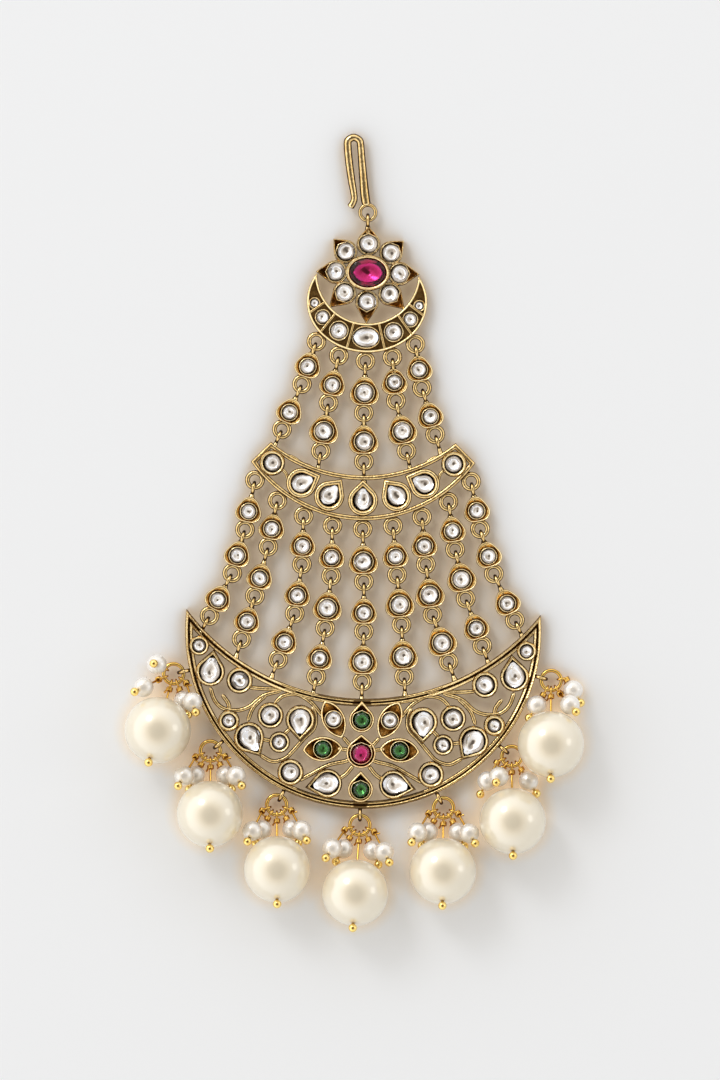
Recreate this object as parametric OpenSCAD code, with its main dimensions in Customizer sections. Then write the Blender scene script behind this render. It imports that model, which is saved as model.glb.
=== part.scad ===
// Passa jhoomar: a side headpiece of cast metal, set stones and pearls.
// It lies face up: X to the right, Y towards the hook, Z up, its back on z = 0.

/* [Castings] */
// Thickness of the open plates and scrolls
plate_h = 2.0; // [1.6:0.1:2.2]
// Height of the rims above the back
rim_h = 2.3; // [2.2:0.1:2.6]
// Height of the stone settings above the back
setting_h = 2.6; // [2.5:0.1:3]
// Height at which every ring and loop lies
ring_z = 1.4; // [1.4:0.1:1.8]
// Metal round a stone, from its edge to the outside of the setting
setting_wall = 0.75; // [0.6:0.05:0.9]
// Clearance between a stone and its seat
seat_gap = 0.12; // [0.1:0.01:0.2]

/* [Rings and loops] */
// Radius of a face-on ring, at the middle of its wire
ring_r = 1.35; // [1.3:0.05:1.5]
// Thickness of a face-on ring's wire
ring_wire = 0.9; // [0.7:0.05:0.95]
// Radius of an edge-on loop, at the middle of its wire
loop_r = 1.0; // [0.95:0.05:1.1]
// Thickness of an edge-on loop's wire
loop_wire = 0.68; // [0.6:0.02:0.7]

/* [Flower] */
// Half width of the small crescent's outer edge, which is an oval
small_outer_x = 10.9; // [10.8:0.1:11]
// Half height of the small crescent's outer edge
small_outer_y = 9.2; // [9.1:0.1:9.4]
// Radius of the small crescent's inner edge
small_inner_r = 9.15; // [9:0.05:9.2]
// Half width and half height of the ellipse on which the petals stand
petal_ring = [5.8, 5.25];
// Radius of a petal at its wide end
petal_r = 2.15; // [2.1:0.05:2.3]

/* [Middle band] */
// Radius of the band's upper edge
band_top_r = 26.4; // [26:0.1:27]
// Radius of the band's lower edge
band_bottom_r = 24.8; // [24.5:0.1:25]
// Depth of the band at its middle
band_depth = 8.2; // [8:0.1:8.4]

/* [Lower crescent] */
// Radius of the big crescent's outer edge
big_outer_r = 32.2; // [32:0.1:32.4]
// Radius of the big crescent's upper edge
big_inner_r = 40.5; // [40.3:0.1:40.7]
// Distance between the centres of the two edges
big_shift = 28.2; // [28:0.1:28.4]
// Width of the double rim
rim_w = 1.4; // [1.3:0.1:1.6]

/* [Links] */
// Radius of a large link's cup, which is a rounded triangle
large_cup_r = 2.65; // [2.5:0.05:2.7]
// Diameter of the stone in a large link
large_stone_d = 3.25; // [3:0.05:3.3]
// Radius of a small link's cup
small_cup_r = 2.35; // [2.2:0.05:2.4]
// Diameter of the stone in a small link
small_stone_d = 2.7; // [2.5:0.05:2.8]

/* [Pearls] */
// Diameter of a big pearl
big_pearl_d = 12; // [11.6:0.1:12.2]
// Diameter of a small pearl
small_pearl_d = 3.6; // [3.4:0.1:3.6]
// Radius of a jump ring, at the middle of its wire
jump_r = 1.8; // [1.75:0.05:1.9]
// Thickness of a jump ring's wire
jump_wire = 0.7; // [0.6:0.05:0.7]
// Thickness of a head pin
pin_wire = 0.4; // [0.35:0.05:0.45]

/* [Hidden] */
UPPER_CHAINS = 5;
LOWER_CHAINS = 9;
DROPS_COUNT = 7;

$fn = 48;
antique_gold = "darkgoldenrod";
bright_gold = "goldenrod";
step_in = 0.08;       // a raised line stands this far inside the plate below it
seat_floor = 0.9;     // height of the metal left under a stone
stone_rise = 0.45;    // a stone's table above its setting
girdle_h = 0.2;
cut_h = 3;            // a cut made from above runs this far

// Where each casting lies on the piece: [centre, turn]
FLOWER = [[2.1, 46.8], -1.5];
BAND = [[1.25, 10.2], -0.4];
CRESCENT = [[1.0, -34.0], -1.0];
small_drop = 5.25;    // the middle of the small crescent's outer oval lies this far below its inner circle's

function turned(p, a) = [p.x * cos(a) - p.y * sin(a), p.x * sin(a) + p.y * cos(a)];
function polar(r, a) = [r * cos(a), r * sin(a)];
function heading(v) = atan2(v.y, v.x);
function flat(p) = [p.x, p.y];
function on(casting, p) = casting[0] + turned(p, casting[1]);

module place(casting) translate(casting[0]) rotate(casting[1]) children();
module both_sides() for (side = [0, 1]) mirror([side, 0, 0]) children();

// OUTLINES. All run anticlockwise and point along +Y.

// A circle with straight sides that meet in a tip at the given reach
function drop_outline(r, reach, n = 20) =
    let (open = acos(r / reach))
    concat([[0, reach]], [for (i = [0:n]) polar(r, 90 + open + (360 - 2 * open) * i / n)]);
function oval_outline(a, b, n = 20) =
    [for (i = [0:n - 1]) [a * cos(360 * i / n), b * sin(360 * i / n)]];
function round_outline(r, n = 20) = oval_outline(r, r, n);
// Two arcs that meet in a point at each end
function leaf_outline(half_l, half_w, n = 10) =
    let (r = (half_l * half_l + half_w * half_w) / (2 * half_w), span = asin(half_l / r),
         side = [for (i = [0:n - 1]) [half_w - r, 0] + polar(r, span * (2 * i / n - 1))])
    concat(side, [for (p = side) -p]);
// A rounded triangle, one corner up
cup_corner = 0.09;    // a corner reaches out by this part of the radius
function cup_outline(r, n = 24) = [for (i = [0:n - 1])
    polar(r * (1 + cup_corner * cos(3 * (360 * i / n - 90))), 360 * i / n)];

// A smooth curve through the points, with n steps from each to the next
function blend(a, b, c, d, t) = 0.5 * (2 * b + (c - a) * t + (2 * a - 5 * b + 4 * c - d) * t * t
    + (3 * b - a - 3 * c + d) * t * t * t);
function smooth(p, n = 3) = concat(
    [for (i = [0:len(p) - 2], k = [0:n - 1])
        blend(p[max(i - 1, 0)], p[i], p[i + 1], p[min(i + 2, len(p) - 1)], k / n)],
    [p[len(p) - 1]]);
function normal_at(p, i) =
    let (v = p[min(i + 1, len(p) - 1)] - p[max(i - 1, 0)]) [-v.y, v.x] / norm(v);
function stroke_outline(p, w) = concat(
    [for (i = [0:len(p) - 1]) p[i] - normal_at(p, i) * w / 2],
    [for (i = [len(p) - 1:-1:0]) p[i] + normal_at(p, i) * w / 2]);
module stroke(points, w) polygon(stroke_outline(smooth(points), w));

// SHARED PIECES

// A faceted stone with a table, over its outline
module cut_stone(outline, foot, top) {
    n = len(outline);
    girdle = foot + (top - foot) * 0.5;
    levels = [[foot, 0.45], [girdle, 1], [girdle + girdle_h, 1], [top, 0.56]];
    polyhedron(
        [for (l = levels, p = outline) [p.x * l[1], p.y * l[1], l[0]]],
        concat([[for (i = [0:n - 1]) i]],
               [for (k = [0:len(levels) - 2], i = [0:n - 1])
                   [k * n + i, (k + 1) * n + i, (k + 1) * n + (i + 1) % n, k * n + (i + 1) % n]],
               [[for (i = [n - 1:-1:0]) (len(levels) - 1) * n + i]]));
}
module stone(outline, setting_top = setting_h)
    cut_stone(outline, seat_floor + seat_gap, setting_top + stone_rise);
module seat(outline) translate([0, 0, seat_floor]) linear_extrude(cut_h) polygon(outline);

module flat_ring(r = ring_r, wire = ring_wire)
    translate([0, 0, ring_z]) rotate_extrude() translate([r, 0]) circle(d = wire, $fn = 24);
// A loop that stands on edge, in the YZ plane
module edge_loop(r = loop_r, wire = loop_wire)
    translate([0, 0, ring_z]) rotate([0, 90, 0])
        rotate_extrude() translate([r, 0]) circle(d = wire, $fn = 24);
// From the middle of a ring to the middle of the loop that hangs in it
loop_hang = ring_r + 0.1;
// A straight round stem along +Y
module stem(from, to, d)
    translate([0, from, ring_z]) rotate([-90, 0, 0]) cylinder(d = d, h = to - from);
// An edge-on loop that hangs in the ring at the origin and runs down to a casting
module bail(stem_l) {
    translate([0, -loop_hang, 0]) edge_loop();
    translate([0, -loop_hang - loop_r - stem_l, 0]) stem(0, stem_l + 0.15, loop_wire + 0.1);
}

// HOOK

hook_ring_r = 1.4;
hook_ring_wire = 0.72;
hook_wire_h = 1.3;
// The flower's own loop, on which the hook's eye hangs
flower_loop_y = 9.45;
flower_loop_turn = 1.4;
hook_eye = on(FLOWER, turned([0, flower_loop_y + hook_ring_r + 0.05], flower_loop_turn));
// Along the wire from the ring, over the bend, to the turned-out foot
HOOK = [ // x, y, wire width
    [1.95, 58.9, 1.6], [1.62, 60.5, 1.7], [1.3, 64.0, 1.55], [1.0, 67.5, 1.4], [0.78, 70.2, 1.35],
    [0.45, 70.9, 1.35], [-0.4, 71.3, 1.35], [-1.25, 70.9, 1.4], [-1.55, 70.2, 1.45],
    [-1.35, 67.5, 1.45], [-0.9, 64.0, 1.4], [-0.35, 60.6, 1.25], [-0.55, 59.5, 1.25], [-1.1, 58.6, 1.4]];

module hair_hook() color(antique_gold) {
    path = smooth(HOOK);
    sides = 12;
    last = len(path) - 1;
    points = [for (i = [0:last], k = [0:sides - 1])
        let (side = normal_at(path, i), a = 360 * k / sides, w = path[i][2] / 2 * cos(a))
        [path[i].x + side.x * w, path[i].y + side.y * w, ring_z + hook_wire_h / 2 * sin(a)]];
    polyhedron(points, concat(
        [[for (k = [0:sides - 1]) k]],
        [for (i = [0:last - 1], k = [0:sides - 1])
            [for (c = [[0, 0], [1, 0], [1, 1], [0, 1]]) (i + c.x) * sides + (k + c.y) % sides]],
        [[for (k = [sides - 1:-1:0]) last * sides + k]]));
    translate(hook_eye) flat_ring(hook_ring_r, hook_ring_wire);
}

// FLOWER

ruby_half = [3.25, 2.5];
ruby_setting_h = setting_h + 0.2;
petal_stone_r = 1.58;
petal_rim = 0.35;
cell_floor = plate_h - 0.2;
ridge_w = 0.45;
flower_rim = 0.45;
chain_spread = 23.4;
function beside_oval(a, out) =
    let (n = [cos(a) / small_outer_x, sin(a) / small_outer_y])
    [small_outer_x * cos(a), small_outer_y * sin(a)] + out * n / norm(n);
flower_ring_at = [for (i = [0:UPPER_CHAINS - 1])
    [0, -small_drop] + beside_oval(-90 + chain_spread * (i - 2), ring_r + 0.15)];
SMALL_STONES = [ // x, y, half width, half height
    [0, -11.7, 2.35, 1.8], [4.95, -10.6, 1.55, 1.55], [7.9, -8.25, 1.2, 1.2], [9.45, -5.75, 0.8, 0.8]];
RIDGES = [14, 37, 54]; // turns from straight down

function petal_at(i) = [petal_ring.x * cos(45 * i), petal_ring.y * sin(45 * i)];
function petal_reach(i) = 3.55 - 0.45 * sin(45 * i);
module at_petals() for ($petal = [0:7])
    translate(petal_at($petal)) rotate(45 * $petal - 90) children();
module at_small_stones() for (s = SMALL_STONES, side = s[0] > 0 ? [-1, 1] : [1]) {
    $half = [s[2], s[3]];
    translate([side * s[0], s[1]]) children();
}
module ruby_setting_2d() polygon(oval_outline(ruby_half.x + setting_wall, ruby_half.y + setting_wall));
module small_crescent_2d(inset) difference() {
    translate([0, -small_drop]) polygon(oval_outline(small_outer_x - inset, small_outer_y - inset, 72));
    circle(small_inner_r + inset);
}
module small_cells_2d() difference() {
    small_crescent_2d(flower_rim);
    for (a = RIDGES) both_sides() rotate(a - 90)
        translate([small_inner_r, -ridge_w / 2]) square([small_outer_x, ridge_w]);
}

module flower_frame() color(antique_gold) place(FLOWER) {
    difference() {
        union() {
            linear_extrude(rim_h) {
                at_petals() polygon(drop_outline(petal_r, petal_reach($petal)));
                small_crescent_2d(0);
            }
            linear_extrude(ruby_setting_h) ruby_setting_2d();
        }
        translate([0, 0, cell_floor]) linear_extrude(cut_h) {
            difference() {
                at_petals() polygon(drop_outline(petal_r - petal_rim, petal_reach($petal) - 2 * petal_rim));
                ruby_setting_2d();
            }
            small_cells_2d();
        }
        seat(oval_outline(ruby_half.x + seat_gap, ruby_half.y + seat_gap));
        at_petals() seat(round_outline(petal_stone_r + seat_gap));
        at_small_stones() seat(oval_outline($half.x + seat_gap, $half.y + seat_gap));
    }
    for (p = flower_ring_at) translate(p) flat_ring();
    rotate(flower_loop_turn) translate([0, flower_loop_y, 0]) {
        edge_loop();
        stem(-loop_r - 1.2, -loop_r + 0.1, loop_wire + 0.15);
    }
}
module flower_ruby() color("mediumvioletred") place(FLOWER)
    stone(oval_outline(ruby_half.x, ruby_half.y, 12), ruby_setting_h);
module petal_stones() color("lightcyan") place(FLOWER)
    at_petals() stone(round_outline(petal_stone_r, 10), rim_h);
module small_crescent_stones() color("lightcyan") place(FLOWER)
    at_small_stones() stone(oval_outline($half.x, $half.y, 10), rim_h);

// CHAINS. Each row is one chain below its first ring: [ring centre x, y, size of the link above it].

large = [large_cup_r, large_stone_d / 2];
little = [small_cup_r, small_stone_d / 2];
UPPER_JOINTS = [
    [[-9.8, 26.7, little], [-13.4, 18.5, little]],
    [[-5.0, 23.3, little], [-6.4, 14.6, large]],
    [[1.4, 21.5, large], [1.4, 12.7, large]],
    [[7.2, 23.7, little], [9.1, 14.6, large]],
    [[11.9, 26.0, little], [14.3, 17.6, little]]];
LOWER_JOINTS = [
    [[-20.1, 0.4, little], [-22.4, -7.5, little], [-26.5, -15.2, little]],
    [[-15.9, -2.7, little], [-18.3, -11.6, little], [-20.7, -19.4, little]],
    [[-9.8, -5.9, little], [-11.1, -14.8, little], [-14.1, -23.1, little]],
    [[-4.5, -8.0, little], [-5.6, -17.4, large], [-7.2, -26.2, little]],
    [[1.4, -9.0, large], [1.4, -18.0, little], [1.1, -27.1, large]],
    [[7.4, -7.8, little], [8.2, -16.8, large], [8.7, -26.2, large]],
    [[12.6, -5.9, little], [13.8, -15.0, large], [16.7, -23.5, large]],
    [[17.9, -3.2, little], [19.8, -12.1, large], [22.8, -20.6, little]],
    [[22.4, 0.5, little], [24.9, -7.6, little], [28.7, -16.0, little]]];

band_ring_step = 12;
band_ring_r = band_bottom_r + ring_r + 0.15;
band_bottom_y = band_bottom_r - band_depth;
band_ring_at = [for (i = [0:LOWER_CHAINS - 1])
    [0, band_bottom_y] + polar(band_ring_r, -90 + band_ring_step * (i - 4))];

function upper_path(i) = concat([on(FLOWER, flower_ring_at[i - 1])], UPPER_JOINTS[i - 1]);
function lower_path(i) = concat([on(BAND, band_ring_at[i - 1])], LOWER_JOINTS[i - 1]);

cup_foot = 0.3;
cup_rim = 0.42;
ring_outer_r = ring_r + ring_wire / 2;
cup_side = 1 - cup_corner;     // a cup's flat sides lie at this part of its radius
cup_overlap = 0.5;             // a cup's lower side covers this much of its own ring
ring_web = 0.05;               // metal left between a stone's seat and the link's own ring
function cup_reach(r) = r * (1 + cup_corner);
// Middle of the cup above the link's own ring: the tip stays clear of the ring above
function cup_y(r, pitch) =
    min(ring_outer_r - cup_overlap + r * cup_side, pitch - ring_outer_r - 0.3 - cup_reach(r));
function stone_y(link, pitch) =
    max(cup_y(link[0], pitch) - 0.15, ring_outer_r + ring_web + seat_gap + link[1]);

module at_links(path) for (k = [1:len(path) - 1]) {
    up = flat(path[k - 1]) - flat(path[k]);
    $link = path[k][2];
    $pitch = norm(up);
    translate(flat(path[k])) rotate(heading(up) - 90) children();
}
module link_casting(link, pitch) {
    cup_at = cup_y(link[0], pitch);
    difference() {
        union() {
            translate([0, cup_at, cup_foot]) linear_extrude(setting_h - 0.2 - cup_foot)
                polygon(cup_outline(link[0]));
            stem(cup_at + cup_reach(link[0]) - 0.9, pitch - ring_r - loop_r, loop_wire + 0.1);
        }
        translate([0, cup_at, plate_h]) linear_extrude(cut_h) polygon(cup_outline(link[0] - cup_rim));
        translate([0, stone_y(link, pitch), 0]) seat(round_outline(link[1] + seat_gap));
    }
    flat_ring();
    translate([0, pitch - loop_hang, 0]) edge_loop();
}
module chain(path) color(antique_gold) at_links(path) link_casting($link, $pitch);
module chain_stones(path) color("lightcyan") at_links(path)
    translate([0, stone_y($link, $pitch), 0]) stone(round_outline($link[1], 10), plate_h);

module upper_chain(i) chain(upper_path(i));
module lower_chain(i) chain(lower_path(i));
module upper_chain_stones() for (i = [1:UPPER_CHAINS]) chain_stones(upper_path(i));
module lower_chain_stones() for (i = [1:LOWER_CHAINS]) chain_stones(lower_path(i));
band_bail_stem = 1.5;
crescent_bail_stem = 1.1;
// A bail in a chain's last ring, in line with its last link
module chain_bail(path, stem_l) {
    last = len(path) - 1;
    translate(flat(path[last])) rotate(heading(flat(path[last - 1]) - flat(path[last])) - 90) bail(stem_l);
}

// MIDDLE BAND

band_rim = 0.9;
band_cut = [16.75, 5.9];       // the upper corner of a cut end, which slants at 45 degrees
band_pear = [1.7, 2.55];       // stone radius and reach
band_pear_setting = [2.75, 3.85];
BAND_PEARS = [ // x, y, turn of the tip from +Y towards the middle
    [0, -4.6, 0], [6.1, -3.8, 37], [11.15, -1.5, 68]];
BAND_END = [16.4, 2.1];
band_end_r = 1.55;
BAND_LEAVES = [
    [[15.0, 3.4], [12.9, 3.3], [11.2, 2.2], [9.3, 1.5]],
    [[14.6, 1.0], [13.9, 0.2], [13.6, -0.8]]];

module band_2d(inset) intersection() {
    difference() {
        translate([0, band_bottom_y]) circle(band_bottom_r - inset);
        translate([0, band_top_r]) circle(band_top_r + inset);
    }
    slant = inset * sqrt(2);
    foot = [band_cut.x + band_cut.y - slant, 0];
    polygon([foot + [12, -12], foot + [-12, 12], -foot + [12, 12], -foot + [-12, -12]]);
}
module at_band_pears() for (p = BAND_PEARS, side = p[0] > 0 ? [-1, 1] : [1])
    translate([side * p[0], p[1]]) rotate(side * p[2]) children();
module at_band_ends() both_sides() translate(BAND_END) children();
module band_settings_2d(inset) {
    at_band_pears() polygon(drop_outline(band_pear_setting[0] - inset, band_pear_setting[1] - inset));
    at_band_ends() circle(band_end_r + setting_wall - inset);
}

module middle_band() color(antique_gold) {
    place(BAND) {
        difference() {
            union() {
                linear_extrude(plate_h) {
                    difference() { band_2d(0); band_2d(band_rim); }
                    band_settings_2d(0);
                    both_sides() for (leaf = BAND_LEAVES) stroke(leaf, 0.6);
                }
                linear_extrude(rim_h) difference() { band_2d(step_in); band_2d(band_rim - step_in); }
                linear_extrude(setting_h) band_settings_2d(step_in);
            }
            at_band_pears() seat(drop_outline(band_pear[0] + seat_gap, band_pear[1] + 1.3 * seat_gap));
            at_band_ends() seat(round_outline(band_end_r + seat_gap));
        }
        for (p = band_ring_at) translate(p) flat_ring();
    }
    for (i = [1:UPPER_CHAINS]) chain_bail(upper_path(i), band_bail_stem);
}
module middle_band_stones() color("lightcyan") place(BAND) {
    at_band_pears() stone(drop_outline(band_pear[0], band_pear[1], 10));
    at_band_ends() stone(round_outline(band_end_r, 10));
}

// LOWER CRESCENT

big_drop = 16.1;               // its outer centre lies this far above its own origin
scroll_w = 0.8;
rim_groove = 0.3;              // between the two raised lines of the rim
CRESCENT_ROUNDS = [ // x, y, stone radius, setting radius
    [29.6, 12.9, 1.15, 1.8], [22.2, 6.7, 1.65, 2.4], [24.0, -0.6, 1.15, 1.95], [16.5, 0.5, 1.7, 2.4],
    [14.8, -4.3, 1.25, 1.95], [12.7, -9.7, 1.65, 2.4]];
CRESCENT_PEARS = [ // x, y, stone radius, stone reach, setting radius, setting reach, turn of the tip
    [27.5, 8.2, 1.95, 3.1, 2.65, 4.1, 8], [11.1, -0.2, 1.95, 3.0, 2.7, 4.0, 180],
    [20.3, -3.5, 2.05, 3.2, 2.75, 4.1, 148], [5.9, -11.6, 1.95, 3.1, 2.6, 4.2, -101]];
CRESCENT_LEAVES = [ // x, y, stone radius, half length, half width, turn
    [5.1, 0, 1.4, 3.75, 2.1, -26]];
GREEN_LEAVES = [[6.95, -5.4, 1.5, 3.65, 2.25, 86]];
GREEN_DROPS = [ // y, stone radius, setting radius, setting reach
    [0, 1.55, 2.3, 3.4], [-12.6, 1.55, 2.3, 3.4]];
big_ruby = [-6.05, 1.8, 2.7, 3.5]; // y, stone radius, setting radius, setting reach
SCROLLS = [ // the middle line of each wire on the right half
    [[20.6, 5.5], [17.5, 5.3], [14.5, 5.3], [11.8, 4.8]],
    [[14.6, 5.0], [17.9, 4.0], [20.4, 2.0], [22.6, 1.3], [25.0, 1.6], [26.6, 3.0], [27.5, 5.4]],
    [[24.0, 1.4], [24.2, 2.6], [25.3, 4.1]],
    [[17.2, 4.3], [19.6, 1.9], [20.6, -0.6]],
    [[15.8, 2.7], [14.2, 4.1], [11.8, 4.4], [9.6, 3.3], [8.2, 1.9], [7.0, 0.4]],
    [[9.0, 2.2], [8.3, 0.4], [8.6, -1.7], [10.3, -3.5], [12.1, -5.6], [13.7, -7.2], [16.0, -7.8],
        [18.4, -6.6]],
    [[11.2, -11.2], [8.8, -9.9], [5.9, -8.3], [3.0, -7.6], [2.0, -7.2]],
    [[4.0, -10.8], [2.6, -9.8], [1.4, -8.3]],
    [[3.3, -3.2], [2.0, -4.6], [1.0, -5.2]],
    [[4.2, -5.25], [3.0, -5.4], [2.0, -5.5]],
    [[16.2, -4.1], [17.2, -3.95], [18.2, -3.8]],
    [[13.9, -2.8], [13.3, -2.2], [12.7, -1.6]]];

drop_step = 25.4;
rim_loop_r = 0.95;
jump_ring_reach = big_outer_r + 2.95;

module crescent_2d(inset) difference() {
    translate([0, big_drop]) circle(big_outer_r - inset, $fn = 160);
    translate([0, big_drop + big_shift]) circle(big_inner_r + inset, $fn = 160);
}
module rim_line_2d(from, to) difference() { crescent_2d(from); crescent_2d(to); }
module at_rounds(i) both_sides() translate([CRESCENT_ROUNDS[i][0], CRESCENT_ROUNDS[i][1]]) children();
module at_pears(i) both_sides()
    translate([CRESCENT_PEARS[i][0], CRESCENT_PEARS[i][1]]) rotate(CRESCENT_PEARS[i][6]) children();
module at_leaf(leaf) both_sides() translate([leaf[0], leaf[1]]) rotate(leaf[5]) children();
module crescent_settings_2d(inset) {
    for (i = [0:len(CRESCENT_ROUNDS) - 1]) at_rounds(i) circle(CRESCENT_ROUNDS[i][3] - inset);
    for (i = [0:len(CRESCENT_PEARS) - 1]) at_pears(i)
        polygon(drop_outline(CRESCENT_PEARS[i][4] - inset, CRESCENT_PEARS[i][5] - inset));
    for (leaf = concat(CRESCENT_LEAVES, GREEN_LEAVES)) at_leaf(leaf)
        polygon(leaf_outline(leaf[3] - inset, leaf[4] - inset));
    for (d = GREEN_DROPS) translate([0, d[0]]) polygon(drop_outline(d[2] - inset, d[3] - inset));
    translate([0, big_ruby[0]]) polygon(drop_outline(big_ruby[2] - inset, big_ruby[3] - inset));
}
module round_seat(r) seat(round_outline(r + seat_gap));
module crescent_seats() {
    for (i = [0:len(CRESCENT_ROUNDS) - 1]) at_rounds(i) round_seat(CRESCENT_ROUNDS[i][2]);
    for (i = [0:len(CRESCENT_PEARS) - 1]) at_pears(i)
        seat(drop_outline(CRESCENT_PEARS[i][2] + seat_gap, CRESCENT_PEARS[i][3] + 1.3 * seat_gap));
    for (leaf = concat(CRESCENT_LEAVES, GREEN_LEAVES)) at_leaf(leaf) round_seat(leaf[2]);
    for (d = GREEN_DROPS) translate([0, d[0]]) round_seat(d[1]);
    translate([0, big_ruby[0]]) round_seat(big_ruby[1]);
}

module lower_crescent() color(antique_gold) {
    place(CRESCENT) {
        difference() {
            union() {
                linear_extrude(plate_h) {
                    rim_line_2d(0, rim_w);
                    crescent_settings_2d(0);
                    both_sides() for (s = SCROLLS) stroke(s, scroll_w);
                }
                linear_extrude(rim_h) {
                    rim_line_2d(step_in, (rim_w - rim_groove) / 2);
                    rim_line_2d((rim_w + rim_groove) / 2, rim_w - step_in);
                }
                linear_extrude(setting_h) crescent_settings_2d(step_in);
            }
            crescent_seats();
        }
        for (i = [1:DROPS_COUNT]) translate([0, big_drop]) rotate(drop_turn(i))
            translate([0, -big_outer_r - 0.1 - rim_loop_r, 0]) {
                edge_loop(rim_loop_r, jump_wire);
                stem(rim_loop_r - 0.1, rim_loop_r + 0.8, loop_wire);
            }
    }
    for (i = [1:LOWER_CHAINS]) chain_bail(lower_path(i), crescent_bail_stem);
}
module crescent_stones() color("lightcyan") place(CRESCENT) {
    for (i = [0:len(CRESCENT_ROUNDS) - 1]) at_rounds(i)
        stone(round_outline(CRESCENT_ROUNDS[i][2], 10));
    for (i = [0:len(CRESCENT_PEARS) - 1]) at_pears(i)
        stone(drop_outline(CRESCENT_PEARS[i][2], CRESCENT_PEARS[i][3], 10));
    for (leaf = CRESCENT_LEAVES) at_leaf(leaf) stone(round_outline(leaf[2], 10));
}
module crescent_emeralds() color("seagreen") place(CRESCENT) {
    for (leaf = GREEN_LEAVES) at_leaf(leaf) stone(round_outline(leaf[2], 10));
    for (d = GREEN_DROPS) translate([0, d[0]]) stone(round_outline(d[1], 10));
}
module crescent_ruby() color("mediumvioletred") place(CRESCENT)
    translate([0, big_ruby[0]]) stone(round_outline(big_ruby[1], 12));

// PEARL DROPS

function drop_turn(i) = drop_step * (i - 4);
function jump_at(i) = on(CRESCENT, [0, big_drop] + turned([0, -jump_ring_reach], drop_turn(i)));

low = small_pearl_d / 2;      // a small pearl on the table
high = 5.1;                   // a small pearl that lies on others
FAN = [[-47, 6.4, high, -72], [-31, 5.2, low, -36], [31, 5.2, low, 36], [47, 6.4, high, 72]];
DROPS = [ // heading of the drop, reach of the big pearl, small pearls [turn, reach, z, turn of the eye]
    [-105.2, 10.4, [[-106, 3.4, high, -108], [-51, 5.8, high, -54], [35, 5.2, low, 36],
        [50, 6.1, high, 72]]],
    [-89.8, 11.2, FAN],
    [-89.5, 11.4, [[-44, 6.3, high, -72], [-31, 5.2, low, -36], [31, 5.2, low, 36], [45, 6.3, high, 72]]],
    [-94, 12.0, FAN],
    [-91, 11.2, FAN],
    [-89.8, 11.5, [[-45, 6.3, low, -72], [-34, 4.3, high, -36], [34, 5.4, low, 36]]],
    [-91, 11.4, [[-29, 5.2, low, -27], [38, 5.4, high, 34], [67, 4.3, low, 100]]]];

eye_r = 0.75;
ball_r = 0.78;
ball_gap = 0.12;               // between a pearl and the ball that holds it
hole_gap = 0.12;               // between a pin and its pearl
sleeve = [2.1 * pin_wire, 0.45]; // diameter and length of the coil under an eye
function flat_to(p, z) = [p.x, p.y, z];
function spot(i, turn, reach, z) = flat_to(jump_at(i) + polar(reach, DROPS[i - 1][0] + turn), z);
// One row for each pin of a drop: [neck of the eye, pearl centre, pearl radius, heading of the eye]
function pin_of(i, turn, reach, z, eye, r) =
    [spot(i, eye, jump_r + 0.1 + eye_r, ring_z), spot(i, turn, reach, z), r, DROPS[i - 1][0] + eye];
function big_pin(i) = pin_of(i, 0, DROPS[i - 1][1], big_pearl_d / 2, 0, big_pearl_d / 2);
function small_pins(i) = [for (s = DROPS[i - 1][2]) pin_of(i, s[0], s[1], s[2], s[3], small_pearl_d / 2)];
// Turns +X onto the line from a neck to its pearl
module along(pin) {
    v = pin[1] - pin[0];
    translate(pin[0]) rotate([0, -atan2(v.z, norm([v.x, v.y])), heading(v)]) children();
}
module head_pin(pin) {
    ball_x = norm(pin[1] - pin[0]) + pin[2] + ball_r + ball_gap;
    translate(pin[0]) rotate(pin[3]) translate([-eye_r, 0, 0]) rotate([90, 0, 0])
        rotate_extrude() translate([eye_r, 0]) circle(d = pin_wire, $fn = 16);
    along(pin) {
        rotate([0, 90, 0]) cylinder(d = pin_wire, h = ball_x);
        translate([0.1, 0, 0]) rotate([0, 90, 0]) cylinder(d = sleeve.x, h = sleeve.y);
        translate([ball_x, 0, 0]) sphere(ball_r, $fn = 24);
    }
}
// A sphere drilled along its pin, turned from the half section beside the hole
module pearl(pin) along(pin) translate([norm(pin[1] - pin[0]), 0, 0]) rotate([0, 90, 0])
    rotate_extrude() intersection() {
        circle(pin[2]);
        translate([pin_wire / 2 + hole_gap, -pin[2]]) square(2 * pin[2]);
    }
module drop_ring(i) color(bright_gold) {
    translate(jump_at(i)) flat_ring(jump_r, jump_wire);
    head_pin(big_pin(i));
    for (pin = small_pins(i)) head_pin(pin);
}
module big_pearl(i) color("cornsilk") pearl(big_pin(i));
module small_pearls(i) color("snow") for (pin = small_pins(i)) pearl(pin);

hair_hook();
flower_frame();
flower_ruby();
petal_stones();
small_crescent_stones();
for (i = [1:UPPER_CHAINS])
    upper_chain(i);
upper_chain_stones();
middle_band();
middle_band_stones();
for (i = [1:LOWER_CHAINS])
    lower_chain(i);
lower_chain_stones();
lower_crescent();
crescent_stones();
crescent_emeralds();
crescent_ruby();
for (i = [1:DROPS_COUNT]) {
    drop_ring(i);
    big_pearl(i);
    small_pearls(i);
}
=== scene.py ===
# %% [markdown]
# # A passa jhoomar headpiece
# The headpiece is a family of small castings, hung in one another and set with stones.
# Its solids come from the frame. This lesson dresses them: wires become round, settings get
# a crest and a dark foot, stones get facets over foil, and pearls get their lustre.

# %% Load the frame
import math

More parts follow.
